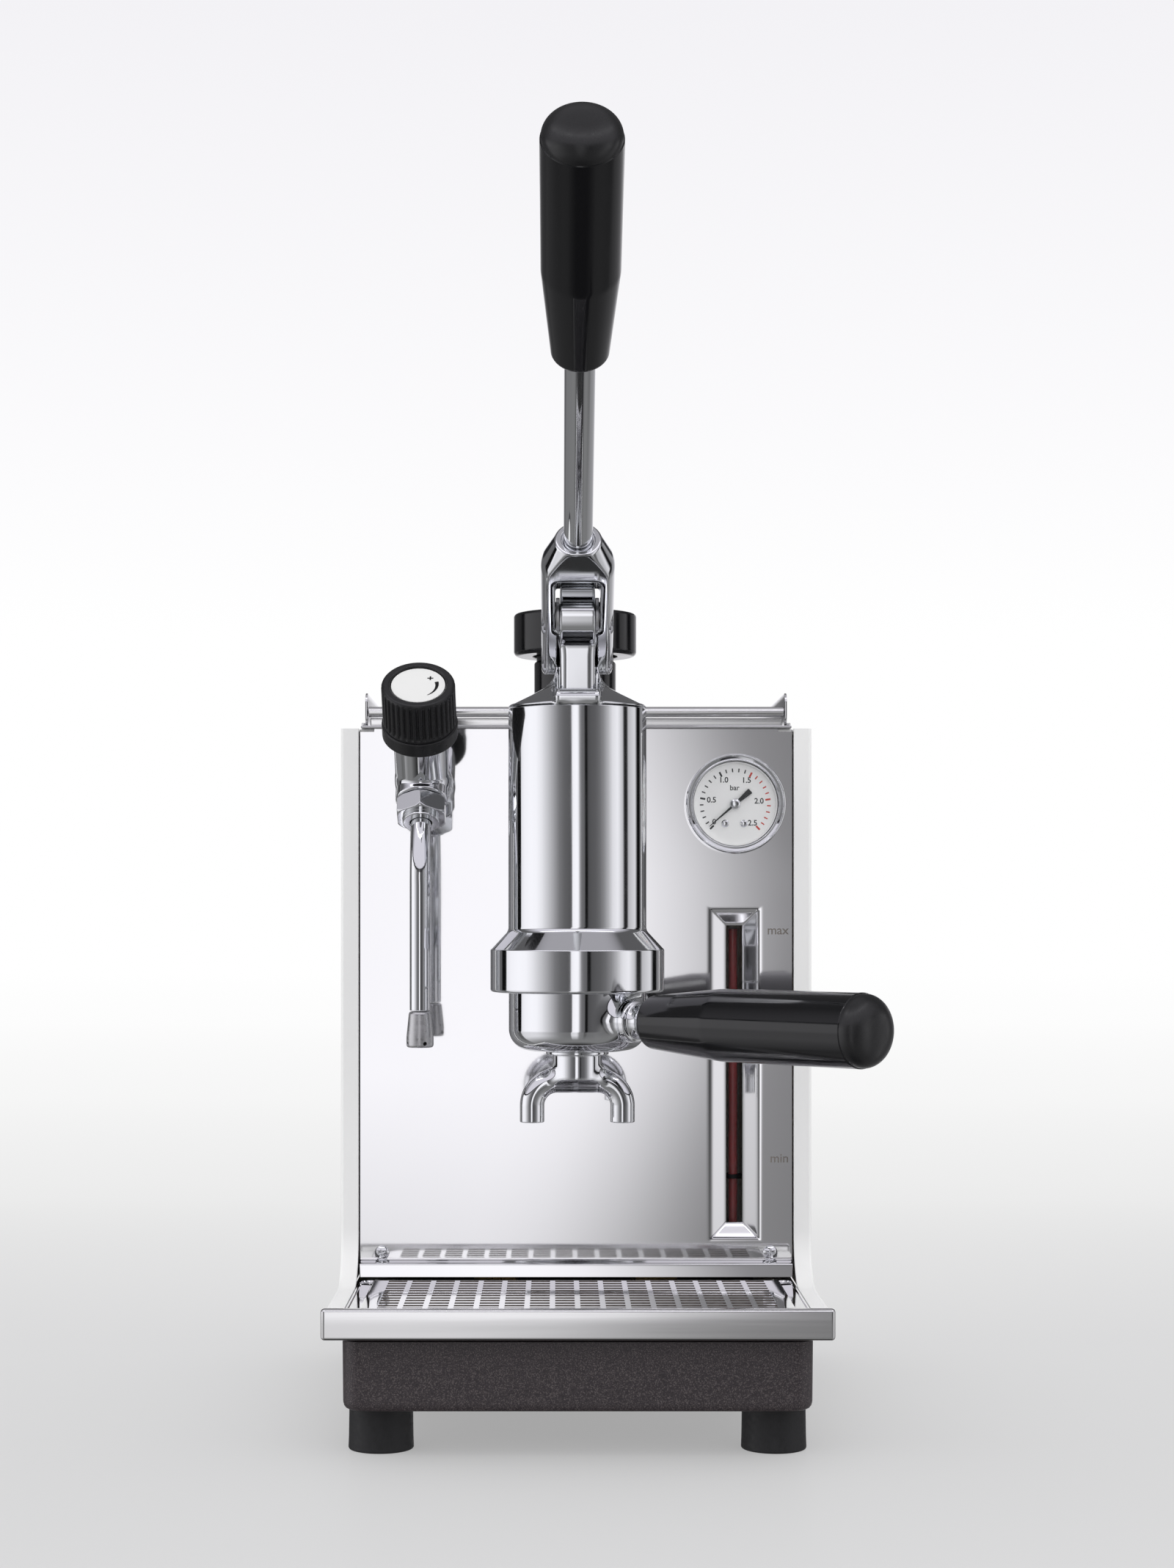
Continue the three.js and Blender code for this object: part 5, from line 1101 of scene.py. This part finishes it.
def holder_field(p):
    """The cup is a disc with a ball rolled round its edge, met with its top; the arm, its waisted
    neck and its ring are measured from the handle's axis; ears are sectors of a disc."""
    x, y, z = p[..., 0], p[..., 1], p[..., 2]
    radial = np.hypot(x, y)
    q0, q1 = radial - CUP_R + CUP_EDGE, CUP_LOW + CUP_EDGE - z
    round_low = np.hypot(np.maximum(q0, 0), np.maximum(q1, 0)) + np.minimum(np.maximum(q0, q1), 0)
    cup = meet(0.8, round_low - CUP_EDGE, z - CUP_TOP)
    turn_by = math.radians(HANDLE_TURN)
    u = np.array([math.cos(turn_by), math.sin(turn_by), 0])
    s = p @ u
    off = np.sqrt(np.maximum((x - s * u[0]) ** 2 + (y - s * u[1]) ** 2 + (z - HANDLE_Z) ** 2, 0))
    arm = meet(0.8, off - ARM_R, s - 33.4, ARM_IN - s)
    body = join(7.5, cup, arm)
    waist = 6.0 + 1.9 * np.clip(np.abs(s - 37.2) / 4.4, 0, 1) ** 2
    neck = meet(0.4, off - waist, s - 41.7, ARM_IN - s)
    ring = meet(1.0, off - 8.4, s - 34.0, 30.5 - s)
    stud = meet(0.3, off - 5, s - 52, ARM_IN - s)
    body = join(0.8, body, neck, ring, stud)
    wide = np.abs(np.arctan2(y, np.abs(x))) - math.radians(20)
    sector = radial * np.sin(np.clip(wide, -1.5, 1.5))
    ear = meet(0.4, radial - EAR_R, np.abs(z - EAR_Z) - 1.1, sector)
    cavity = meet(4.0, radial - 25.2, 164 - z)
    return cut(0.5, np.minimum(body, ear), cavity, radial - 5.3)


low, high = (-32.4, -36, 157.5), (35.8, 32.4, 188)
casting("holder_cast", holder_field, low, high, 0.55, GROUP, "chrome", ["portafilter_body"], "filter_holder")
names = ("holder_handle", "holder_handle_dome")
add_grip(names, (42.0, 80, 148, 5.1), HANDLE, "portafilter_handle", "filter_holder")

# %% [markdown]
# ## Twin spout and basket
# A washer, a round stem, and two tubes that leave it level and turn down. The basket is pressed
# steel with a rolled rim.

# %% Spout and basket
SPOUT_Z, BEND_X, BEND_R, SPOUT_R, MOUTH_Z, STEM_R, NONE = 146.3, 8.2, 10, 4.9, 129.5, 9.9, 9.0


def spout_field(p):
    """One side, mirrored by the size of x: a level tube, a quarter of a ring and a tube down, joined
    with the stem and its washer, and bored at the mouth. Beyond its end a tube counts as far off."""
    x, y, z = np.abs(p[..., 0]), p[..., 1], p[..., 2]
    washer = meet(0.4, np.hypot(x, y) - 12.6, z - 158.3, 156.8 - z)
    stem = meet(1.2, np.hypot(x, y) - STEM_R, z - 157.4, 146.6 - z)
    run = np.where(x > BEND_X, NONE, np.hypot(y, z - SPOUT_Z) - SPOUT_R)
    bend_x, bend_z = x - BEND_X, z - (SPOUT_Z - BEND_R)
    ring = np.hypot(np.hypot(bend_x, bend_z) - BEND_R, y) - SPOUT_R
    bend = np.where((bend_x >= 0) & (bend_z >= 0), ring, NONE)
    from_mouth = np.hypot(bend_x - BEND_R, y)
    down = np.where(bend_z < 0, from_mouth - SPOUT_R, NONE)
    tubes = np.minimum(np.minimum(run, bend), down)
    body = join(0.4, join(3.5, stem, np.minimum(tubes, 8.0)), washer)
    return cut(0.5, meet(0.5, body, MOUTH_Z - z), meet(0.1, from_mouth - 3.6, z - MOUTH_Z - 6.5))


low, high = (-24, -13.5, 128.6), (24, 13.5, 159.2)
casting("spout_cast", spout_field, low, high, 0.42, GROUP, "chrome", ["portafilter_spout"], "filter_holder")
BASKET = [
    (0, 169.7), (24.6, 169.7, 1.5), (24.6, 186.4, 0.6), (27.3, 186.7), (27.3, 188, 0.4), (23.6, 188, 0.5),
    (23.6, 170.7, 1.2), (0, 170.7),
]
lathe("basket_pressed", BASKET, 96, GROUP, "satin_steel", ["filter_basket"], "filter_holder")

# %% [markdown]
# ## Steam valve
# A barrel for the spindle, a ball-shaped middle, a stub into the panel with its collar, and the
# outlet's boss: four shapes that run into each other. A six-sided nut holds the wand.

# %% Steam valve
BARREL_R, BOSS_R, NUT_HALF, NUT_TOP, NUT_END = 11.0, 10.8, 9.8, 11.3, 19.3
WAY_UP = np.array([0, -math.sin(math.radians(VALVE_LEAN)), math.cos(math.radians(VALVE_LEAN))])
WAY_OUT = np.array([0, -math.sin(math.radians(OUTLET_LEAN)), -math.cos(math.radians(OUTLET_LEAN))])


def bar(p, a, b, radius, edge=0.0):
    """A round bar from a to b: distance from its axis less the radius, met with its two end planes."""
    a, b = np.asarray(a, float), np.asarray(b, float)
    length = np.linalg.norm(b - a)
    axis = (b - a) / length
    height = (p - a) @ axis
    radial = np.sqrt(np.maximum(((p - a) ** 2).sum(-1) - height**2, 0)) - radius
    return meet(edge, radial, -height, height - length)


def valve_field(p):
    """A ball with a barrel up, a boss out and a stub back, joined; the spindle's and the wand's
    bores are cut."""
    barrel = bar(p, (0, 0, 0), 24.2 * WAY_UP, BARREL_R, 0.6)
    ball = np.linalg.norm(p, axis=-1) - BARREL_R
    stub = bar(p, (0, 0, 0), (0, 34.7, 0), 9)
    collar = bar(p, (0, 28.7, 0), (0, 31.7, 0), 11.6, 0.8)
    boss = bar(p, (0, 0, 0), 11 * WAY_OUT, BOSS_R, 1.2)
    body = join(0.6, join(3.0, join(1.0, ball, barrel, boss), stub), collar)
    spindle = bar(p, 7.7 * WAY_UP, 30 * WAY_UP, 4.6)
    return cut(0.4, body, spindle, bar(p, 6 * WAY_OUT, 16 * WAY_OUT, 4.5))


def nut_field(p):
    """Six flats: the largest of three distances across; both ends coned, and a round collar below."""
    x, y, z = p[..., 0], p[..., 1], -p[..., 2]
    radial = np.hypot(x, y)
    sides = [np.abs(x * math.cos(a) + y * math.sin(a)) - NUT_HALF for a in np.radians((0, 60, 120))]
    corner = radial - NUT_HALF - 0.5
    chamfer = np.maximum((corner - (z - NUT_TOP)) * 0.8, (corner - (NUT_END - z)) * 0.8)
    hexagon = meet(0.35, np.max(sides, 0), NUT_TOP - z, z - NUT_END, chamfer)
    collar = meet(0.5, radial - 7.6, z - NUT_END - 2, 12 - z)
    return cut(0.3, np.minimum(hexagon, collar), radial - 4.5)


low, high = (-14.6, -27.5, -16), (14.6, 35.2, 26.5)
casting("valve_cast", valve_field, low, high, 0.5, move(*VALVE_AT), "chrome", ["steam_valve_body"])
casting("wand_nut_cut", nut_field, (-12, -12, -22), (12, 12, -10.8), 0.3, OUTLET, "chrome", ["wand_nut"])

# %% [markdown]
# ## Steam knob
# Moulded in black: its radius falls into a rounded groove thirty-six times round, the grooves fade
# out at the crown and at the plain band, and a silver disc sits in a recess on top.

# %% Steam knob
KNOB_LOW, GROOVES, DISC_TOP = 24.5, 36, 49.8


def knob_surface():
    """Radius is the outline's less the groove's depth times a clipped cosine of the angle times the
    number of grooves."""
    corners = [
        (4.4, 6), (4.4, 0, 0.2), (15.5, 0, 0.6), (15.5, 6.2, 0.5), (14.4, 6.5, 0.2), (14.4, 7.1, 0.2),
        (15.0, 7.4, 0.2), (14.9, 25.9, 2.9), (11.5, 25.9, 1.0), (11.2, 24.1), (0, 24.1),
    ]
    outline = rounded([(r, KNOB_LOW + h, *edge) for r, h, *edge in corners])
    dense = []
    for a, b in zip(outline, outline[1:]):
        parts = max(1, int(np.linalg.norm(b - a) / 0.9))
        dense.extend(a + (b - a) * np.arange(parts)[:, None] / parts)
    dense = np.array([*dense, outline[-1]])
    height = dense[:, 1] - KNOB_LOW
    depth = 0.95 * np.clip((height - 7.4) / 0.8, 0, 1) * np.clip((25.0 - height) / 2.0, 0, 1)
    depth = depth * (dense[:, 0] > 12.5)
    angle = np.linspace(0, 2 * np.pi, GROOVES * 12, endpoint=False)
    groove = np.clip(1.25 * np.cos(GROOVES * angle) + 0.1, 0, 1) ** 0.8
    radius = dense[:, :1] - depth[:, None] * groove
    points = np.stack([radius * np.cos(angle), radius * np.sin(angle), dense[:, 1:] + 0 * angle], -1)
    return placed((points.reshape(-1, 3), grid_faces(len(dense), len(angle), wrap=True)), VALVE)


def knob_sign():
    """A plus sign, and a crescent whose width is a power of how far it still has to go."""
    low, high = DISC_TOP - 0.02, DISC_TOP + 0.03
    arms = [
        slab((3.6, 4.05, low), (6.0, 4.65, high), 0.01, 1, 0.02),
        slab((4.5, 3.15, low), (5.1, 5.55, high), 0.01, 1, 0.02),
    ]
    t = np.linspace(0, 1, 40)
    angle = np.radians(15 - 75 * t)
    middle, width = 7.6, 1.5 * (1 - t) ** 0.8 + 0.08
    edges = [
        np.stack([radius * np.cos(angle), radius * np.sin(angle)], -1)
        for radius in (middle + width / 2, middle - width / 2)
    ]
    ring = np.concatenate([edges[0], edges[1][::-1]])
    return [placed(s, VALVE) for s in (*arms, loft([ring, ring], [low, high]))]


piece("knob_black", [knob_surface()], "matt_black", ["steam_knob"], "valve_knob", "satin_black", angle=50)
DISC = [(0, DISC_TOP - 1.1), (10.9, DISC_TOP - 1.1), (10.9, DISC_TOP - 0.1, 0.25), (0, DISC_TOP)]
lathe("knob_disc_silver", DISC, 96, VALVE, "satin_steel", ["steam_knob_disc"], "valve_knob", "disc_silver")
piece("knob_sign", knob_sign(), "matt_black", body="valve_knob")

# %% [markdown]
# ## Steam wand
# One tube, straight from its nut, bent once, then straight down to a satin tip with four small
# holes. A tube is bent over a former, so its path is two straights and an arc, and a circle is
# carried along it.

# %% Wand helpers
def lengths(path):
    """How far along the path each of its points is."""
    return np.concatenate([[0], np.cumsum(np.linalg.norm(np.diff(path, axis=0), axis=1))])


def route(corners, radius, step=0.8):
    """A path through the corners, each inner one rounded by an arc, sampled about every step. An
    arc's centre is the radius over the sine of half the corner's angle from the corner."""
    corners = [np.array(c, float) for c in corners]
    points = [corners[0]]
    for before, here, after in zip(corners, corners[1:], corners[2:]):
        a, b = before - here, after - here
        a, b = a / np.linalg.norm(a), b / np.linalg.norm(b)
        half = math.acos(np.clip(a @ b, -1, 1)) / 2
        reach = radius / math.tan(half)
        centre = here + (a + b) / np.linalg.norm(a + b) * radius / math.sin(half)
        u = (here + a * reach - centre) / radius
        w = (here + b * reach - centre) / radius
        v = w - (w @ u) * u
        v = v / np.linalg.norm(v)
        angles = np.linspace(0, math.acos(np.clip(u @ w, -1, 1)), 20)[:, None]
        points.extend(centre + radius * (np.cos(angles) * u + np.sin(angles) * v))
    points = np.array([*points, corners[-1]])
    distance = lengths(points)
    samples = np.linspace(0, distance[-1], max(2, int(distance[-1] / step)))
    samples = np.unique(np.concatenate([samples, distance]))
    return np.stack([np.interp(samples, distance, points[:, k]) for k in range(3)], -1)


def along(path, profile, side, sides=48):
    """A profile of (distance, radius) carried along a flat path whose plane's normal is side: each
    point is the path's, plus radius times cosine of side and sine of what is square to both."""
    distance = lengths(path)
    tangent = np.gradient(path, distance, axis=0)
    profile = np.asarray(profile, float)
    rings = [profile[:1]]
    for a, b in zip(profile, profile[1:]):
        between = distance[(distance > a[0] + 0.05) & (distance < b[0] - 0.05)]
        share = (between - a[0]) / max(b[0] - a[0], 1e-9)
        rings += [np.stack([between, a[1] + share * (b[1] - a[1])], -1), b[None]]
    rings = np.concatenate(rings)
    centre = np.stack([np.interp(rings[:, 0], distance, path[:, k]) for k in range(3)], -1)
    heading = np.stack([np.interp(rings[:, 0], distance, tangent[:, k]) for k in range(3)], -1)
    heading /= np.linalg.norm(heading, axis=1)[:, None]
    up = np.cross(heading, side)
    angle = np.linspace(0, 2 * np.pi, sides, endpoint=False)[None, :, None]
    ring = np.cos(angle) * np.asarray(side, float) + np.sin(angle) * up[:, None, :]
    points = centre[:, None, :] + rings[:, 1, None, None] * ring
    return points.reshape(-1, 3), grid_faces(len(rings), sides, wrap=True)


KNEE_OUT, WAND_START, WAND_END, WAND_BEND = 37, 11, 174, 46
knee = VALVE_AT + KNEE_OUT * WAY_OUT
wand_path = route([VALVE_AT + WAND_START * WAY_OUT, knee, (knee[0], knee[1], WAND_END)], WAND_BEND)
length = lengths(wand_path)[-1]
print("the wand's tube is", round(length, 1), "mm long")

# %% Wand
TUBE_R, TIP_LOW, TIP_TOP, HOLE_Z = 4.2, 158.9, 173.7, 163.5


def tip_field(p):
    """A cone met with its two ends, less four bars that lean outwards and down."""
    radial = np.hypot(p[..., 0], p[..., 1])
    z = p[..., 2]
    cone = radial - np.clip(5.55 - (z - 163) * 0.1, 4.5, 5.55)
    body = meet(1.4, cone, TIP_LOW - z, z - TIP_TOP)
    for angle in np.radians((0, 90, 180, 270)):
        side = np.array([math.cos(angle), math.sin(angle), -0.55])
        body = cut(0.15, body, bar(p, (0, 0, HOLE_Z), side * 9 + (0, 0, HOLE_Z), 0.75))
    return body


wand = [
    (0, 0), (0, TUBE_R - 0.3), (0.3, TUBE_R), (length - 0.2, TUBE_R), (length, TUBE_R - 0.2), (length, 0),
]
piece("wand_tube", [along(wand_path, wand, (1, 0, 0), 64)], "chrome", ["steam_wand"], "wand")
low, high, place = (-6.3, -6.3, 158.2), (6.3, 6.3, 174.4), move(knee[0], knee[1], 0) @ turn("Z", 25)
casting("wand_tip_turned", tip_field, low, high, 0.25, place, "satin_steel", ["wand_tip"], "wand")

# %% [markdown]
# ## Drip tray and grate
# The lip closes the front between the arms. Behind it the rim is a flat ledge with a raised outer
# edge, the basin hangs from it, and the grate has sixteen columns of fine slots. Its grid lines
# fall on the slots' edges, and their cells are left open, which needs no boolean.

# %% Drip tray
BASIN = [
    (91.8, -96.6, -1.5, 3, 56.0), (91.8, -96.6, -1.5, 3, 57.5), (91.5, -96.3, -1.8, 3, 57.9),
    (90.9, -95.8, -2.2, 3, 57.9), (90.5, -95.5, -2.5, 3, 57.3), (86.6, -95.2, -3.4, 3, 57.2),
    (84.5, -93.3, -4.4, 3, 57.2), (84.3, -93.2, -4.6, 3, 56.6), (83.6, -92.6, -5.2, 3, 49.6),
    (82.8, -91.9, -6.0, 3, 48.9),
]
UNDER = [(91.8, -96.6, -1.5, 3, 56.0), (85.4, -94, -2.4, 3, 55.9), (84.4, -93, -3.6, 3, 47.8)]
# A thin matt black sheet on the basin's floor: painted shade for what the slots show below them.
SHADE_SHEET = [(82.7, -91.8, -6.1, 3, 49.2), (82.4, -91.5, -6.4, 3, 49.5)]
basin, under = trough(BASIN, start_cap=False), trough(UNDER, start_cap=False)
piece("tray_pressed", [basin, under], "polished_steel", ["drip_tray"], "tray")
lip = slab((-HALF, -99.9, LOW), (HALF, -96.3, 60.2), 1.5, 6)
piece("tray_lip", [lip], "polished_steel", (), "tray", "front_steel")
# The black sheet in the basin paints the shade seen through the grate's slots.
piece("tray_painted_shade_sheet", [trough(SHADE_SHEET)], "matt_black", (), "tray")

# %% Drip grate
COLUMNS, COLUMN_GAP, SLOT_HALF = 16, 10.0, 3.9
ROWS, ROW_GAP, ROW_MIDDLE, ROW_HALF = 12, 7.0, -49.4, 2.15


def grate_surface():
    """A flat grid at 58.7 whose outermost line lies half a millimetre lower."""
    columns = (np.arange(COLUMNS) - (COLUMNS - 1) / 2) * COLUMN_GAP
    rows = ROW_MIDDLE + (np.arange(ROWS) - (ROWS - 1) / 2) * ROW_GAP
    edges = (columns[:, None] + (-SLOT_HALF, -3.3, 3.3, SLOT_HALF)).reshape(-1)
    xs = np.sort(np.concatenate([[-85.7, -84.9, 84.9, 85.7], edges]))
    ys = np.sort(np.concatenate([[-94.7, -93.9, -4.9, -4.1], rows - ROW_HALF, rows + ROW_HALF]))
    x, y = np.meshgrid(xs, ys, indexing="ij")
    z = np.full(x.shape, 58.7)
    z[0] = z[-1] = z[:, 0] = z[:, -1] = 58.2
    points = np.stack([x, y, z], -1).reshape(-1, 3)

    def hole(mx, my):
        column_off = np.abs(mx[..., None] - columns).min(-1)
        row_off = np.abs(my[..., None] - rows).min(-1)
        return (column_off < SLOT_HALF) & (row_off < ROW_HALF)

    return points, open_faces(xs, ys, hole, points, (0, 0, 1))


grate = piece("grate_cut", [grate_surface()], "polished_steel", ["drip_grate"], "grate", closed=False)
# The grate's cut walls get a dark colour as painted shade for the inside of its slots.
thickened(grate, 0.9, "grate_walls_painted_shade")

# %% [markdown]
# ## Mains inlet and switch
# Moulded black, let into the rear panel. They are flat-sided, so the CAD shapes with soft edges do.

# %% Mains inlet and switch
softened("power_inlet", "matt_black", width=0.5)
softened("power_switch", "matt_black", "switch")

# %% [markdown]
# ## Pieces inside
# The boiler, its fittings, the piston and the seals keep the shapes of the CAD model and take the
# finishes of their slots, because nobody sees them while the body is closed.

# %% Pieces inside
INSIDE = {
    "brass": [
        "boiler", "boiler_lid", "heating_element", "safety_valve", "sight_union_top", "sight_union_bottom",
    ],
    "rubber": ["filler_seal", "group_gasket", "piston_seal_upper", "piston_seal_lower"],
    "satin_steel": ["shower_screen", "steam_stem", "piston"],
    "matt_black": ["pressure_switch"],
}
for finish, names in INSIDE.items():
    for name in names:
        nodes[name].data.materials.clear()
        nodes[name].data.materials.append(FINISH[finish])
print(sum(len(names) for names in INSIDE.values()), "pieces inside")

# %% [markdown]
# ## Studio
# A pale floor that fades into a white background, one soft lamp overhead and one at the left. The
# floor and the lamps aren't seen by polished metal, which has a room of its own further down.

# %% Studio
def seen(tone, cool=0.0):
    """The light that a tone on the screen stands for: the tone plus 0.055, over 1.055, to the power
    of 2.4, a little bluer where cool is above zero."""
    level = ((tone + 0.055) / 1.055) ** 2.4
    return (level * (1 - cool * 0.5), level * (1 - cool), level * (1 + cool * 0.6))


def floor_disc(radius, sides=96):
    """A flat disc that is painted near the machine and glows like the background far behind it."""
    mesh = bpy.data.meshes.new("floor")
    angle = np.linspace(0, 2 * np.pi, sides, endpoint=False)
    ring = np.stack([radius * np.cos(angle), radius * np.sin(angle), 0 * angle], -1)
    mesh.from_pydata(ring.tolist(), [], [list(range(sides))])
    white = material("floor_white", (0.66, 0.66, 0.665), 0.5)
    tree = white.node_tree
    where = tree.nodes.new("ShaderNodeTexCoord").outputs["Object"]
    depth = add(white, "ShaderNodeSeparateXYZ", Vector=where).outputs["Y"]
    fade = ((0.0, 0.86), (0.03, 0.875), (0.06, 0.895), (0.13, 0.93), (0.25, 0.965), (0.5, 0.99), (1, 1.0))
    away = tint(white, spread(white, depth, 0, 1, 0, 8), *[(at, seen(tone)) for at, tone in fade])
    glow = add(white, "ShaderNodeEmission", Color=away, Strength=1.0)
    mix = add(white, "ShaderNodeMixShader", Fac=spread(white, depth, 0.5, 1, 0.25, 0.9))
    tree.links.new(tree.nodes["Principled BSDF"].outputs["BSDF"], mix.inputs[1])
    tree.links.new(glow.outputs["Emission"], mix.inputs[2])
    tree.links.new(mix.outputs["Shader"], tree.nodes["Material Output"].inputs["Surface"])
    mesh.materials.append(white)
    return linked("floor", mesh)


def lamp(name, spot, size, energy):
    """A square lamp that looks at the machine."""
    light = bpy.data.lights.new(name, "AREA")
    light.size = size
    light.energy = energy
    made = linked(name, light)
    made.location = spot
    to_machine = mathutils.Vector((0, 0, 0.15)) - mathutils.Vector(spot)
    made.rotation_euler = to_machine.to_track_quat("-Z", "Y").to_euler()
    return made


made = [floor_disc(9)]
made.append(lamp("lamp_top", (0.0, -0.3, 1.9), 1.8, 4))
made.append(lamp("lamp_left", (-1.7, -1.0, 1.2), 1.4, 2))
for item in made:
    item.visible_glossy = False
print(len(made), "stage objects")

# %% [markdown]
# ## Room
# Polished metal shows the room as bands: bright walls at both sides, a bright middle behind the
# camera, and dark gaps between them. Each stop below is a direction round the machine, in degrees to
# the right of the camera, and the tone that plated metal shows there. A world shader is used and no
# real walls, because only mirrors shall see them.

# %% Bands
LEFT_BANDS = [
    (-180, 0.95), (-170, 0.88), (-158, 0.45), (-150, 0.36), (-124, 0.38), (-119, 0.34), (-117.5, 0.05),
    (-109, 0.05), (-107, 0.90), (-98, 0.95), (-84, 0.97), (-72, 0.96), (-62, 0.90), (-53, 0.80),
    (-45, 0.70), (-37, 0.58), (-30, 0.46), (-22, 0.38), (-12, 0.33), (-9.4, 0.36), (-8.2, 0.93),
    (-4, 0.96), (0, 0.97),
]
RIGHT_BANDS = [
    (0, 0.97), (1.2, 0.95), (2.1, 0.88), (2.85, 0.81), (3.6, 0.71), (4.7, 0.53), (7.5, 0.42), (12, 0.37),
    (13, 0.08), (16.5, 0.08), (18, 0.30), (24, 0.33), (30, 0.35), (37, 0.41), (45, 0.53), (53, 0.69),
    (61, 0.86), (71, 0.92), (81, 0.74), (85, 0.14), (91, 0.14), (95, 0.72), (112, 0.84), (117, 0.40),
    (119, 0.05), (127, 0.05), (131, 0.48), (150, 0.62), (165, 0.84), (180, 0.95),
]
PLATING, BLACK, WHITE = 1 / 0.8, (0, 0, 0), (1, 1, 1)


def wall(tone, cool=0.0):
    """The light of a wall that plated metal shows in the given tone."""
    return tuple(c * PLATING for c in seen(tone, cool))


def blend(made, factor, a, b):
    """a times one less the factor, plus b times the factor, for colours."""
    mix = add(made, "ShaderNodeMix")
    mix.data_type = "RGBA"
    for at, source in ((0, factor), (6, a), (7, b)):
        feed(made, mix.inputs[at], (*source, 1) if isinstance(source, tuple) else source)
    return mix.outputs[2]


def maths(made, operation, *values):
    """One arithmetic node."""
    node = add(made, "ShaderNodeMath")
    node.operation = operation
    for at, value in enumerate(values):
        feed(made, node.inputs[at], value)
    return node.outputs["Value"]


print(len(LEFT_BANDS) + len(RIGHT_BANDS), "stops in the bands")

# %% [markdown]
# The bands turn a little where a mirror looks up or down, as they would if the walls leant. Above
# them lie a dark seam, a sheet in front and a wall behind, and a lamp's bright strip; below them the
# floor. The camera itself sees a plain white sheet, and everything dull gets one plain level.

# %% Room
def bands_round(made, azimuth):
    """Both halves of the bands, each a ramp over its 180 degrees."""
    sides = []
    for bands, start in ((LEFT_BANDS, -180), (RIGHT_BANDS, 0)):
        share = spread(made, azimuth, 0, 1, math.radians(start), math.radians(start + 180))
        sides.append(tint(made, share, *[((at - start) / 180, wall(tone, 0.02)) for at, tone in bands]))
    return blend(made, maths(made, "GREATER_THAN", azimuth, 0.0), *sides)


def glossy_room(made, x, y, z):
    """What mirrors see in the direction (x, y, z)."""
    azimuth = maths(made, "ARCTAN2", x, maths(made, "MULTIPLY", y, -1.0))
    for degrees, start, end in ((2.0, 0.015, 0.13), (2.2, -0.03, -0.14)):
        azimuth = maths(made, "ADD", azimuth, spread(made, z, 0, math.radians(degrees), start, end))
    bands = bands_round(made, azimuth)
    bands = blend(made, spread(made, z, 0, 0.36, -0.06, -0.145), bands, wall(0.55))
    lift = spread(made, z, 0, 1, 0.27, 0.30)
    above = blend(made, spread(made, y, 0, 1, -0.25, 0.25), wall(0.82, 0.05), wall(0.34, 0.02))
    glossy = blend(made, lift, bands, above)
    edge = spread(made, z, 0, 1, 0.24, 0.30)
    seam = tint(made, edge, (0.0, BLACK), (0.3, WHITE), (0.8, WHITE), (1.0, BLACK))
    glossy = blend(made, seam, glossy, (0.02, 0.02, 0.022))
    glossy = blend(made, spread(made, z, 0, 1, 0.84, 0.95), glossy, wall(0.62, 0.04))
    glossy = blend(made, spread(made, z, 0, 1, -0.40, -0.75), glossy, wall(0.46))
    strip = tint(made, z, (0.0, BLACK), (0.735, BLACK), (0.75, WHITE), (0.765, WHITE), (0.78, BLACK))
    strip = maths(made, "MULTIPLY", strip, spread(made, y, 0, 1, 0.0, -0.15))
    glossy = blend(made, strip, glossy, (3.6, 3.6, 3.7))
    return blend(made, spread(made, z, 0, 1, -0.86, -0.97), glossy, seen(0.2))


def room():
    """The world: bands for metal, one plain level for light, a white sheet for the camera."""
    world = bpy.data.worlds.new("room")
    bpy.context.scene.world = world
    world.use_nodes = True
    tree = world.node_tree
    tree.nodes.clear()
    way = tree.nodes.new("ShaderNodeTexCoord").outputs["Generated"]
    parts = add(world, "ShaderNodeSeparateXYZ", Vector=way)
    x, y, z = (parts.outputs[axis] for axis in "XYZ")
    glossy = glossy_room(world, x, y, z)
    sky = ((0.0, seen(1.0)), (0.1, seen(1.0)), (0.18, seen(0.985, 0.01)), (0.32, seen(0.957, 0.02)))
    path = tree.nodes.new("ShaderNodeLightPath").outputs
    direct = maths(world, "MAXIMUM", path["Is Camera Ray"], path["Is Transmission Ray"])
    plain = blend(world, path["Is Glossy Ray"], (1.1, 1.1, 1.11), glossy)
    color = blend(world, direct, plain, tint(world, z, *sky))
    light = add(world, "ShaderNodeBackground", Color=color, Strength=1.0)
    output = tree.nodes.new("ShaderNodeOutputWorld")
    tree.links.new(light.outputs["Background"], output.inputs["Surface"])
    print("the room's shader has", len(tree.nodes), "nodes")


room()

# %% [markdown]
# ## Camera
# It stands in front at the height of the group, looks straight back, and its lens is shifted the way
# the photograph is framed. A shift keeps upright lines upright, which tilting the camera wouldn't.

# %% Camera
IMAGE_TALL, FOCAL_PIXELS, SHIFT_RIGHT, SHIFT_UP = 2137, 3690, 42, 171.5
camera_data = bpy.data.cameras.new("camera")
camera_data.sensor_fit = "VERTICAL"
camera_data.sensor_height = 36
camera_data.lens = FOCAL_PIXELS * camera_data.sensor_height / IMAGE_TALL
camera_data.shift_x = SHIFT_RIGHT / IMAGE_TALL
camera_data.shift_y = SHIFT_UP / IMAGE_TALL
camera_data.clip_end = 50
camera = linked("camera", camera_data)
camera.location = ((-8.5 + SHIFT[0]) / 1000, (-1150 + SHIFT[1]) / 1000, 0.215)
camera.rotation_euler = (math.pi / 2, 0, 0)
bpy.context.scene.camera = camera
bpy.context.scene.view_settings.view_transform = "Standard"
print("lens", round(camera_data.lens, 2), "mm")
